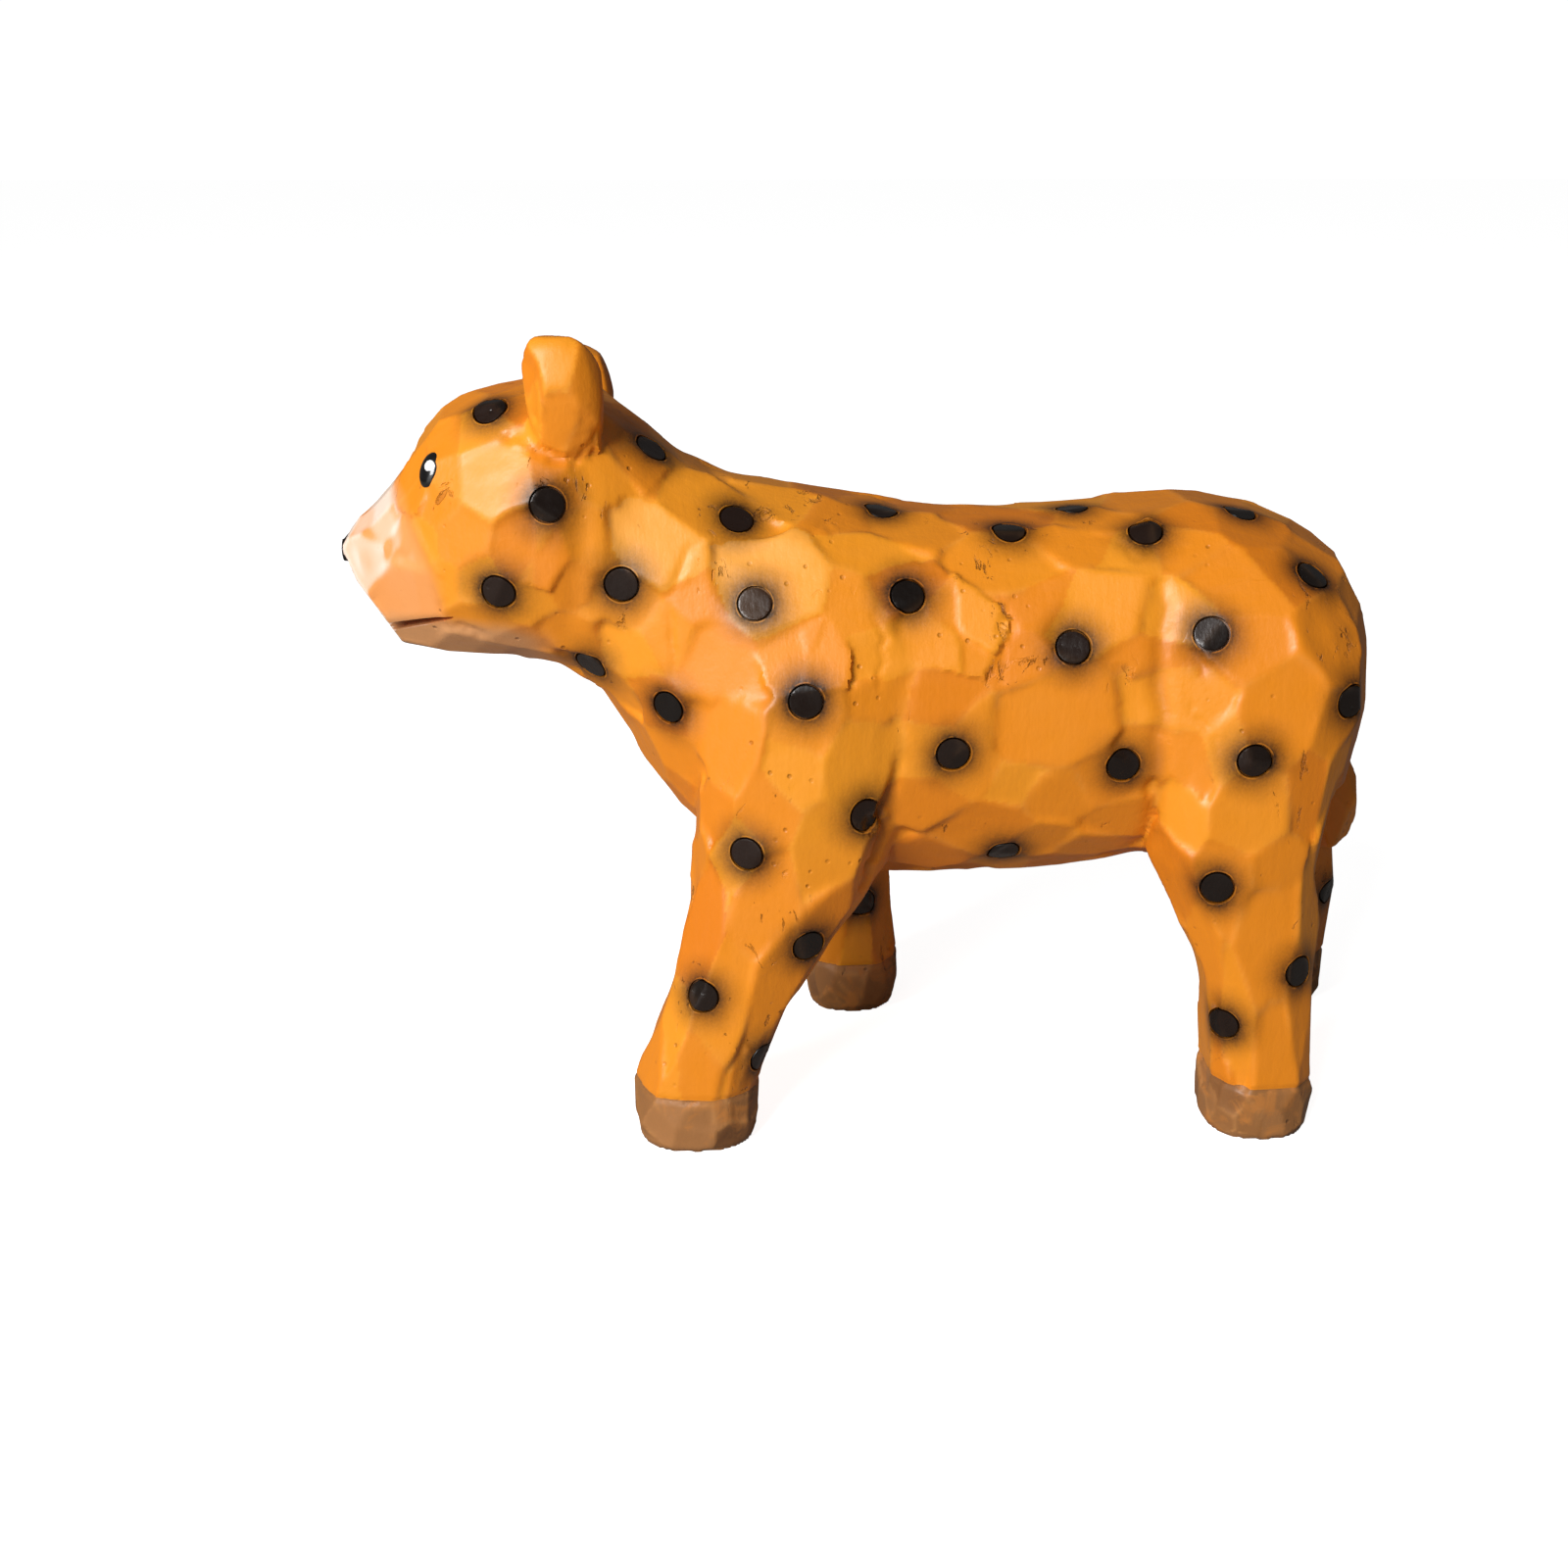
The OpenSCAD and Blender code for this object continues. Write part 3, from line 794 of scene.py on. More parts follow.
@dataclass
class SpotPlugs:
    """The glossy black plugs, each trimmed flush with the carved facets."""

    radius: float = 2.08 * MM
    hole: float = 2.36 * MM
    depth: float = 1.3 * MM
    above: float = 4 * MM
    segments: int = 40

    def rods(self, pegs: Sequence[Peg], radius: float) -> bpy.types.Object:
        """Cylinders along the pegs, from below the surface to well above it."""
        bm = bmesh.new()
        length = self.depth + self.above
        for peg in pegs:
            middle = peg.centre + peg.axis * (length / 2 - self.depth)
            bmesh.ops.create_cone(
                bm, cap_ends=True, segments=self.segments, radius1=radius, radius2=radius, depth=length,
                matrix=stood(middle, peg.axis),
            )
        return bmesh_object("rods", bm)

    def trim(self, skin: bpy.types.Object, pegs: Sequence[Peg]) -> dict[str, bpy.types.Object]:
        """Cuts the plugs from the skin and the holes into it.

        Args:
            skin: The carved skin, which gets the holes.
            pegs: Where the plugs are.

        Returns:
            One object of plugs for each spots node.
        """
        plugs: dict[str, bpy.types.Object] = {}
        for node in SPOTS:
            rods = self.rods([p for p in pegs if p.node == node], self.radius)
            piece = copied(skin, node + "_plugs")
            boolean(piece, rods, "INTERSECT")
            drop(rods)
            self.soften(piece)
            plugs[node] = piece
        holes = self.rods(pegs, self.hole)
        boolean(skin, holes, "DIFFERENCE")
        drop(holes)
        return plugs

    def soften(self, piece: bpy.types.Object) -> None:
        """Rounds the plugs' rims a little."""
        with edited(piece.data) as bm:
            rim = [e for e in bm.edges if len(e.link_faces) == 2 and e.calc_face_angle(0) > math.radians(50)]
            bmesh.ops.bevel(
                bm, geom=rim, offset=0.12 * MM, affect="EDGES", segments=2, profile=0.5, material=-1,
                clamp_overlap=True,
            )


# ---------------------------------------------------------------- sawing


def flat_face(node: str, direction: Vector) -> Flat:
    """The largest flat face of a CAD node that looks roughly a given way."""
    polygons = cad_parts[node].data.polygons
    return flats((p for p in polygons if p.normal.dot(direction) >= 0.9), 200)[0]


def half_space(point: Vector, normal: Vector) -> bpy.types.Object:
    """A large closed block on the side of a plane that its normal points to."""
    size = 400 * MM
    bm = bmesh.new()
    bmesh.ops.create_cube(bm, size=size, matrix=stood(point + normal * size / 2, normal))
    return bmesh_object("half", bm)


def grown(nodes: Sequence[str], voxel: float, ease: int, by: float) -> tuple[bpy.types.Object, np.ndarray]:
    """A closed skin round CAD nodes.

    Args:
        nodes: CAD node names.
        voxel: Size of its voxels.
        ease: Rounds of smoothing.
        by: How far its points are pushed out.

    Returns:
        The skin and its pushed out points, which aren't yet stored.
    """
    skin = merged_copy("cutter", nodes)
    voxel_skin(skin, voxel)
    co = smooth(points_of(skin.data), edges_of(skin.data), ease)
    return skin, co + normals_of(skin.data) * by


def ear_cutter(node: str) -> bpy.types.Object:
    """A closed shape that takes an ear off the skin."""
    cutter, co = grown([node, "ear_pegs"], 0.6 * MM, 6, 0.8 * MM)
    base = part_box(node)[0].z + 2.2 * MM
    co[:, 2] = np.maximum(co[:, 2], base)
    move_to(cutter.data, co)
    return cutter


def leg_cutter(node: str, foot: str) -> bpy.types.Object:
    """A closed shape that takes a leg out of the skin: the CAD leg and foot, grown and widened sideways."""
    low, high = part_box(node)
    foot_low, foot_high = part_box(foot)
    middle = (foot_low.y + foot_high.y) / 2
    cutter, co = grown([node, foot], 0.9 * MM, 12, 0.9 * MM)
    co[:, 1] = middle + (co[:, 1] - middle) * 3.5
    co[:, 1] = np.maximum(co[:, 1], low.y) if low.y > 0 else np.minimum(co[:, 1], high.y)
    move_to(cutter.data, co)
    return cutter


class Saw:
    """Saws the carved skin into the blocks, legs and feet of the CAD."""

    def __init__(self, skin: bpy.types.Object):
        self.skin = skin
        self.made: dict[str, bpy.types.Object] = {}

    def take(self, cutter: bpy.types.Object, node: str) -> bpy.types.Object:
        """Cuts a piece off the skin.

        Args:
            cutter: A closed shape round the piece, which is used up.
            node: The CAD node that the piece stands for.

        Returns:
            The piece.
        """
        piece = copied(self.skin, node + "_carved")
        boolean(piece, cutter, "INTERSECT")
        boolean(self.skin, cutter, "DIFFERENCE")
        drop(cutter)
        self.made[node] = piece
        return piece

    def legs(self) -> None:
        """Takes the four legs off, and each foot off its leg."""
        upper = half_space(Vector((0, 0, FOOT_TOP)), Vector((0, 0, 1)))
        for block, foot in zip(LEGS, FEET):
            leg = self.take(leg_cutter(block.value, foot), block.value)
            keep_largest(leg.data)
            self.made[foot] = copied(leg, foot + "_carved")
            boolean(self.made[foot], upper, "DIFFERENCE")
            boolean(leg, upper, "INTERSECT")
        drop(upper)
        keep_largest(self.skin.data)

    def ears(self) -> None:
        """Takes the ears off."""
        for node in EARS:
            keep_largest(self.take(ear_cutter(node), node).data)
        keep_largest(self.skin.data)

    def trunk(self) -> None:
        """Divides what is left into torso, neck and head."""
        for block, look in ((Block.TORSO, -1), (Block.HEAD, 1)):
            joint = flat_face(block.value, Vector((look, 0, 0)))
            self.take(half_space(joint.middle, -joint.normal), block.value)
        self.skin.name = Block.NECK.value + "_carved"
        self.made[Block.NECK.value] = self.skin


# ---------------------------------------------------------------- small pieces


TAIL_WORK = KnifeWork(3.6 * MM, 0.35, 0.12 * MM, 0.05, 4.0)
NOSE_WORK = KnifeWork(2.4 * MM, 0.3, 0.05 * MM, 0.03, 10.0)


@dataclass
class SmallCarving:
    """A small carved piece, such as the tail or the nose, remeshed from its CAD node and faceted."""

    node: str
    voxel: float = 0.28 * MM
    ease: int = 14
    work: KnifeWork = TAIL_WORK
    seed: int = 8
    grow: float = 0.0

    def build(self) -> bpy.types.Object:
        """Makes the piece."""
        obj = merged_copy(self.node + "_carved", [self.node])
        voxel_skin(obj, self.voxel)
        pairs = edges_of(obj.data)
        move_to(obj.data, smooth(points_of(obj.data), pairs, self.ease))
        co, no = points_of(obj.data), normals_of(obj.data)
        facets = Facets(self.work, self.seed)
        facets.place(co, no)
        cut, winner, ridge = facets.cut(co, no, 0.5 * MM)
        cut = cut + no * self.grow
        cut = smooth(cut, pairs, 1, 0.45, 0)
        low, high = (np.array(c) for c in FRAME_BOUNDS)
        move_to(obj.data, np.clip(cut, low + 0.02 * MM, high - 0.02 * MM))
        write_attribute(obj.data, "tone", facets.tone[winner])
        write_attribute(obj.data, "ridge", ridge)
        write_attribute(obj.data, "groove", np.zeros(len(co)))
        return obj


@dataclass
class Eye:
    """A glossy painted oval eye set on the face."""

    node: str
    half_width: float = 1.7 * MM
    half_height: float = 2.4 * MM
    bulge: float = 0.9 * MM
    sink: float = 0.22 * MM

    def build(self, face: BVHTree) -> bpy.types.Object:
        """Makes the domed eye on the carved face.

        Args:
            face: Search tree of the carved head.

        Returns:
            The eye.
        """
        low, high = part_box(self.node)
        side = -1 if high.y < 0 else 1
        out = flat_face(self.node, Vector((-0.6, 0.69 * side, 0.41))).normal
        centre = (low + high) / 2
        hit, normal, _, _ = face.ray_cast(centre + out * 8 * MM, -out)
        out = (out + normal).normalized()
        place = hit - out * self.sink
        across = out.cross(Vector((0, 0, 1))).normalized()
        up = across.cross(out).normalized()
        basis = Matrix((across, out, up)).transposed().to_4x4()
        bm = bmesh.new()
        bmesh.ops.create_uvsphere(bm, u_segments=48, v_segments=32, radius=1.0)
        bmesh.ops.scale(bm, vec=(self.half_width, self.bulge, self.half_height), verts=bm.verts)
        bmesh.ops.transform(bm, matrix=Matrix.Translation(place) @ basis, verts=bm.verts)
        obj = bmesh_object(self.node + "_painted", bm)
        co = points_of(obj.data) - np.array(place)
        u = co @ np.array(across) / self.half_width * side
        v = co @ np.array(up) / self.half_height
        glint = 1 - np.clip((np.hypot((u - 0.3) / 0.45, (v - 0.2) / 0.3) - 0.85) / 0.3, 0, 1)
        write_attribute(obj.data, "glint", glint)
        return obj


# ---------------------------------------------------------------- materials

Triple = tuple[float, float, float]
Colour = Triple


def paint(red: int, green: int, blue: int) -> Colour:
    """Turns a colour written as 0 to 255 display values into light values."""
    return tuple(
        (c / 255 / 12.92) if c <= 10 else ((c / 255 + 0.055) / 1.055) ** 2.4 for c in (red, green, blue)
    )


def shades(*colours: tuple[int, int, int]) -> dict[str, Colour]:
    """Names the base, light, deep, worn and pit colours of a finish."""
    return {name: paint(*colour) for name, colour in zip(("base", "light", "deep", "worn", "pit"), colours)}


class Nodes:
    """A short way to add and join shader nodes in one tree."""

    def __init__(self, tree: bpy.types.NodeTree):
        self.tree = tree

    def add(self, kind: str, values: dict | None = None, **props) -> bpy.types.Node:
        """Adds a node.

        Args:
            kind: Node type name.
            values: Input name or number to a value or to a socket to link from.
            props: Settings of the node.

        Returns:
            The node.
        """
        node = self.tree.nodes.new(kind)
        for key, value in props.items():
            setattr(node, key, value)
        for key, value in (values or {}).items():
            self.put(node.inputs[key], value)
        return node

    def put(self, socket: bpy.types.NodeSocket, value) -> None:
        """Sets or links one input."""
        if isinstance(value, bpy.types.NodeSocket):
            self.tree.links.new(value, socket)
        elif isinstance(value, tuple) and len(value) == 3 and socket.type == "RGBA":
            socket.default_value = (*value, 1.0)
        else:
            socket.default_value = value

    def math(self, operation: str, a, b=0.0, clamp: bool = False) -> bpy.types.NodeSocket:
        """One math step."""
        node = self.add("ShaderNodeMath", {0: a, 1: b}, operation=operation, use_clamp=clamp)
        return node.outputs[0]

    def ramp(
        self, value, low: float, high: float, to_low: float = 0.0, to_high: float = 1.0
    ) -> bpy.types.NodeSocket:
        """A smooth step of a value between two limits."""
        values = {"Value": value, 1: low, 2: high, 3: to_low, 4: to_high}
        return self.add("ShaderNodeMapRange", values, interpolation_type="SMOOTHSTEP").outputs[0]

    def mix(self, share, a, b) -> bpy.types.NodeSocket:
        """Mixes two colours."""
        return self.add("ShaderNodeMix", {0: share, 6: a, 7: b}, data_type="RGBA").outputs[2]

    def noise(
        self, vector, scale: float, detail: float = 3.0, rough: float = 0.55, warp: float = 0.0
    ) -> bpy.types.NodeSocket:
        """Noise between 0 and 1."""
        values = {0: vector, "Scale": scale, "Detail": detail, "Roughness": rough, "Distortion": warp}
        return self.add("ShaderNodeTexNoise", values).outputs[0]

    def attribute(self, name: str) -> bpy.types.NodeSocket:
        """A number stored on the piece."""
        return self.add("ShaderNodeAttribute", {}, attribute_name=name).outputs["Fac"]

    def place(self, stretch: Triple = (1, 1, 1), turn: Triple = (0, 0, 0)) -> bpy.types.NodeSocket:
        """Object coordinates, stretched and turned."""
        source = self.add("ShaderNodeTexCoord").outputs["Object"]
        return self.add("ShaderNodeMapping", {"Vector": source, "Scale": stretch, "Rotation": turn}).outputs[0]


def cleared(owner: bpy.types.Material | bpy.types.World) -> Nodes:
    """Turns nodes on for a material or the world and empties its tree."""
    owner.use_nodes = True
    owner.node_tree.nodes.clear()
    return Nodes(owner.node_tree)


def group(
    name: str, inputs: dict[str, float], outputs: Sequence[str]
) -> tuple[Nodes, bpy.types.Node, bpy.types.Node]:
    """Starts a shader node group.

    Args:
        name: Group name.
        inputs: Input names and their defaults.
        outputs: Output names.

    Returns:
        The builder, the input node and the output node.
    """
    tree = bpy.data.node_groups.new(name, "ShaderNodeTree")
    number = "NodeSocketFloat"
    for key, value in inputs.items():
        tree.interface.new_socket(key, in_out="INPUT", socket_type=number).default_value = value
    for key in outputs:
        tree.interface.new_socket(key, in_out="OUTPUT", socket_type=number)
    nodes = Nodes(tree)
    return nodes, nodes.add("NodeGroupInput"), nodes.add("NodeGroupOutput")


def grain_group() -> bpy.types.NodeTree:
    """Height of painted wood: brush lines, pores, small chips and a fine tooth.

    Returns:
        A group with Brush, Pores, Chips and Tooth strengths, giving Height, Pits and Scuffs.
    """
    n, given, out = group(
        "painted_grain",
        {"Brush": 1.0, "Pores": 1.0, "Chips": 1.0, "Tooth": 1.0},
        ("Height", "Pits", "Scuffs"),
    )
    here = n.place()
    lines = n.noise(n.place((260, 900, 260), (0.3, 0.5, 0.9)), 1.0, 3.0, 0.6)
    cross = n.noise(n.place((900, 300, 240), (0.9, 0.1, 0.2)), 1.0, 3.0, 0.6)
    brush = n.math("MULTIPLY", n.math("ADD", lines, cross), given.outputs["Brush"])
    cells = n.add("ShaderNodeTexVoronoi", {"Vector": here, "Scale": 420.0, "Randomness": 1.0})
    speck = n.ramp(cells.outputs["Distance"], 0.17, 0.06)
    pore = n.math("MULTIPLY", speck, n.ramp(n.noise(here, 90.0, 2.0), 0.52, 0.64))
    pore = n.math("MULTIPLY", pore, given.outputs["Pores"])
    torn = n.noise(n.place((1, 1, 0.55)), 260.0, 5.0, 0.65, 1.5)
    where = n.ramp(n.noise(here, 70.0, 2.0), 0.55, 0.66)
    chip = n.math("MULTIPLY", n.math("MULTIPLY", n.ramp(torn, 0.60, 0.67), where), given.outputs["Chips"])
    tooth = n.math("MULTIPLY", n.noise(here, 1600.0, 2.0), given.outputs["Tooth"])
    height = n.math("ADD", n.math("MULTIPLY", brush, 0.32), n.math("MULTIPLY", tooth, 0.16))
    height = n.math("SUBTRACT", height, n.math("MULTIPLY", pore, 0.8))
    height = n.math("SUBTRACT", height, n.math("MULTIPLY", chip, 1.6))
    n.put(out.inputs["Height"], height)
    n.put(out.inputs["Pits"], n.math("MAXIMUM", pore, chip))
    n.put(out.inputs["Scuffs"], lines)
    return n.tree


def wear_group() -> bpy.types.NodeTree:
    """How far paint has thinned along carved ridges.

    Returns:
        A group with Ridge, Tone and Amount, giving Worn and Shift.
    """
    n, given, out = group("ridge_wear", {"Ridge": 0.0, "Tone": 0.5, "Amount": 0.5}, ("Worn", "Shift"))
    here = n.place()
    patch = n.ramp(n.noise(here, 140.0, 3.0), 0.42, 0.62)
    worn = n.math("MULTIPLY", n.math("MULTIPLY", given.outputs["Ridge"], patch), given.outputs["Amount"])
    n.put(out.inputs["Worn"], worn)
    tone = n.math("MULTIPLY", given.outputs["Tone"], 0.6)
    broad = n.math("MULTIPLY", n.noise(here, 38.0, 2.0), 0.4)
    n.put(out.inputs["Shift"], n.math("ADD", tone, broad))
    return n.tree


def spray_group() -> bpy.types.NodeTree:
    """Airbrushed black around a spot, from the distance to its middle in millimetres.

    Returns:
        A group with Distance, Inner and Outer, giving Mask.
    """
    n, given, out = group("spray_halo", {"Distance": 20.0, "Inner": 2.2, "Outer": 7.0}, ("Mask",))
    here = n.place()
    drift = n.math("MULTIPLY", n.math("SUBTRACT", n.noise(here, 170.0, 2.0), 0.5), 2.0)
    dust = n.math("MULTIPLY", n.math("SUBTRACT", n.noise(here, 3200.0, 1.0), 0.5), 0.9)
    far = n.math("ADD", n.math("ADD", given.outputs["Distance"], drift), dust)
    limits = {1: given.outputs["Outer"], 2: given.outputs["Inner"], 3: 0.0, 4: 1.0}
    share = n.add("ShaderNodeMapRange", {"Value": far, **limits})
    n.put(out.inputs["Mask"], n.math("POWER", share.outputs[0], 1.85))
    return n.tree


@dataclass(frozen=True)
class Finish:
    """A painted finish.

    Args:
        name: Material name.
        base: Main colour.
        light: Colour of thin or lighter strokes.
        deep: Colour of thick or darker strokes.
        worn: Colour where ridges have rubbed, and on the palest facets a painted highlight.
        pit: Colour in pores and chips, and in grooves as painted shade.
        roughness: Mean roughness.
        coat: Weight of the clear varnish.
        bump: Height of the grain, in metres.
        wear: How strong the ridge wear is.
        brush: Strength of the brush lines.
        pores: Strength of the pores.
        chips: Strength of the chips.
    """

    name: str
    base: Colour
    light: Colour
    deep: Colour
    worn: Colour
    pit: Colour
    roughness: float = 0.46
    coat: float = 0.15
    bump: float = 0.18 * MM
    wear: float = 0.16
    brush: float = 1.0
    pores: float = 1.0
    chips: float = 1.0

    def start(self) -> tuple[bpy.types.Material, Nodes, bpy.types.Node]:
        """An empty material with its Principled shader."""
        material = bpy.data.materials.new(self.name)
        n = cleared(material)
        shader = n.add(
            "ShaderNodeBsdfPrincipled",
            {"Roughness": self.roughness, "Coat Weight": self.coat, "Coat Roughness": 0.28, "IOR": 1.45},
        )
        end = n.add("ShaderNodeOutputMaterial")
        n.put(end.inputs["Surface"], shader.outputs[0])
        return material, n, shader

    def strokes(self, n: Nodes) -> tuple[bpy.types.NodeSocket, bpy.types.Node]:
        """Main colour with its strokes and wear, and a painted highlight on the palest facets.

        Returns:
            The colour and the grain group node.
        """
        rubbed = {"Ridge": n.attribute("ridge"), "Tone": n.attribute("tone"), "Amount": self.wear}
        wear = n.add("ShaderNodeGroup", rubbed, node_tree=GROUPS["wear"])
        strengths = {"Brush": self.brush, "Pores": self.pores, "Chips": self.chips}
        grain = n.add("ShaderNodeGroup", strengths, node_tree=GROUPS["grain"])
        shift = wear.outputs["Shift"]
        colour = n.mix(n.ramp(shift, 0.5, 0.9), self.base, self.light)
        colour = n.mix(n.ramp(shift, 0.42, 0.1), colour, self.deep)
        # Painted highlight: the highest tones, those set above 1 on chosen cuts, take the pale worn colour as
        # the key light's sheen.
        colour = n.mix(n.ramp(shift, 0.9, 1.15), colour, self.worn)
        colour = n.mix(wear.outputs["Worn"], colour, self.worn)
        return colour, grain

    def end(
        self, n: Nodes, shader: bpy.types.Node, colour: bpy.types.NodeSocket, grain: bpy.types.Node
    ) -> None:
        """Pits, painted shade in the grooves, roughness and bump, joined to the shader."""
        # Painted shade: the groove mask lays the pit colour in the creases; pores and chips take it as their
        # own colour.
        pits_and_crease_shade = n.math("MAXIMUM", n.math("MULTIPLY", grain.outputs["Pits"], 0.45), n.attribute("groove"))
        colour = n.mix(n.math("MULTIPLY", pits_and_crease_shade, 0.75, True), colour, self.pit)
        n.put(shader.inputs["Base Color"], colour)
        rough = n.ramp(grain.outputs["Scuffs"], 0.3, 0.7, self.roughness - 0.06, self.roughness + 0.08)
        n.put(shader.inputs["Roughness"], rough)
        relief = {"Height": grain.outputs["Height"], "Distance": self.bump, "Strength": 1.0}
        n.put(shader.inputs["Normal"], n.add("ShaderNodeBump", relief).outputs[0])


GROUPS: dict[str, bpy.types.NodeTree] = {}

# The worn colours are rubbed ridges and, on the palest facets and the plugs under them, a painted highlight;
# the pit colours are pores and chips and, in the grooves, painted shade.
COAT = shades((240, 142, 24), (248, 158, 34), (228, 126, 16), (252, 184, 96), (110, 52, 14))
BLACK = shades((20, 9, 4), (34, 18, 10), (12, 5, 2), (100, 72, 48), (8, 4, 3))
WASH = shades((160, 108, 60), (182, 126, 76), (112, 70, 38), (208, 146, 84), (58, 34, 18))
WOOD = shades((196, 150, 96), (212, 168, 114), (170, 124, 76), (222, 184, 134), (110, 74, 42))


class PaintedFinish:
    """A finish with only its own colours, as on the spots, nose and dowels."""

    def __init__(self, finish: Finish):
        self.finish = finish

    def over(self, n: Nodes, colour: bpy.types.NodeSocket) -> bpy.types.NodeSocket:
        """Adds what is painted over the strokes."""
        return colour

    def build(self) -> bpy.types.Material:
        """Makes the material."""
        material, n, shader = self.finish.start()
        colour, grain = self.finish.strokes(n)
        self.finish.end(n, shader, self.over(n, colour), grain)
        return material


class CoatFinish(PaintedFinish):
    """The orange coat with its airbrushed spots."""

    def over(self, n: Nodes, colour: bpy.types.NodeSocket) -> bpy.types.NodeSocket:
        """Sprays black round the spots, thinned along the rim of each hole as a painted highlight."""
        away = n.attribute("spray")
        spray = n.add("ShaderNodeGroup", {"Distance": away}, node_tree=GROUPS["spray"])
        # Painted highlight: the black thins in a ragged ring on each hole's rim, where a glint would fall.
        rim = n.math("MULTIPLY", n.ramp(away, 2.34, 2.42), n.ramp(away, 2.62, 2.52))
        rim = n.math("MULTIPLY", rim, n.ramp(n.noise(n.place(), 520.0, 2.0), 0.4, 0.6))
        keep = n.math("SUBTRACT", 0.96, n.math("MULTIPLY", rim, 0.4))
        return n.mix(n.math("MULTIPLY", spray.outputs["Mask"], keep), colour, paint(14, 7, 3))


class HeadFinish(CoatFinish):
    """The coat with the pale muzzle, tan chin and white lip under its spots."""

    FACE = (
        ("muzzle", paint(242, 158, 86), 0.3),
        ("chin", paint(214, 152, 98), 0.3),
        ("lip", paint(252, 226, 206), 0.1),
    )

    def over(self, n: Nodes, colour: bpy.types.NodeSocket) -> bpy.types.NodeSocket:
        """Lays the face colours on, with patchy edges, then the spots."""
        patchy = n.math("SUBTRACT", n.noise(n.place(), 120.0, 3.0), 0.5)
        for name, tint, ragged in self.FACE:
            mask = n.attribute(name)
            share = n.math("ADD", mask, n.math("MULTIPLY", patchy, ragged))
            share = n.math("MULTIPLY", n.ramp(share, 0.2, 0.85), n.ramp(mask, 0.0, 0.12))
            colour = n.mix(share, colour, tint)
        return super().over(n, colour)


class HoofFinish(PaintedFinish):
    """Brown wash brushed over the orange feet."""

    def over(self, n: Nodes, colour: bpy.types.NodeSocket) -> bpy.types.NodeSocket:
        """Lets the coat show through where the wash is thin."""
        thin = n.ramp(n.noise(n.place(), 210.0, 4.0, 0.6, 0.6), 0.5, 0.68)
        return n.mix(n.math("MULTIPLY", thin, 0.7), colour, paint(206, 132, 62))


class EyeFinish:
    """Glossy black with one painted glint."""

    def build(self) -> bpy.types.Material:
        """Makes the material."""
        finish = Finish("eye_paint", *(paint(10, 8, 8),) * 5, roughness=0.12, coat=0.9)
        material, n, shader = finish.start()
        glint = n.attribute("glint")
        fuzz = n.math("MULTIPLY", n.math("SUBTRACT", n.noise(n.place(), 2600.0, 2.0), 0.5), 0.5)
        share = n.ramp(n.math("ADD", glint, fuzz), 0.35, 0.65)
        n.put(shader.inputs["Base Color"], n.mix(share, paint(9, 7, 7), paint(246, 244, 242)))
        return material


def make_materials() -> dict[str, bpy.types.Material]:
    """Builds the shared groups and every finish."""
    GROUPS.update(grain=grain_group(), wear=wear_group(), spray=spray_group())
    black = Finish("spot_black", **BLACK, roughness=0.3, coat=0.2, wear=0.25, brush=0.8, chips=0.4)
    wash = Finish("hoof_wash", **WASH, roughness=0.5, coat=0.05, wear=0.7, brush=1.2)
    wood = Finish("dowel_wood", **WOOD, roughness=0.62, coat=0.0, wear=0.2, brush=1.5)
    return {
        "coat": CoatFinish(Finish("orange_coat", **COAT)).build(),
        "head": HeadFinish(Finish("orange_coat_and_muzzle", **COAT)).build(),
        "spot": PaintedFinish(black).build(),
        "nose": PaintedFinish(Finish("nose_black", **BLACK, roughness=0.35, coat=0.3, wear=0.1)).build(),
        "hoof": HoofFinish(wash).build(),
        "wood": PaintedFinish(wood).build(),
        "eye": EyeFinish().build(),
    }


# ---------------------------------------------------------------- dressing


SHARP = math.radians(38)


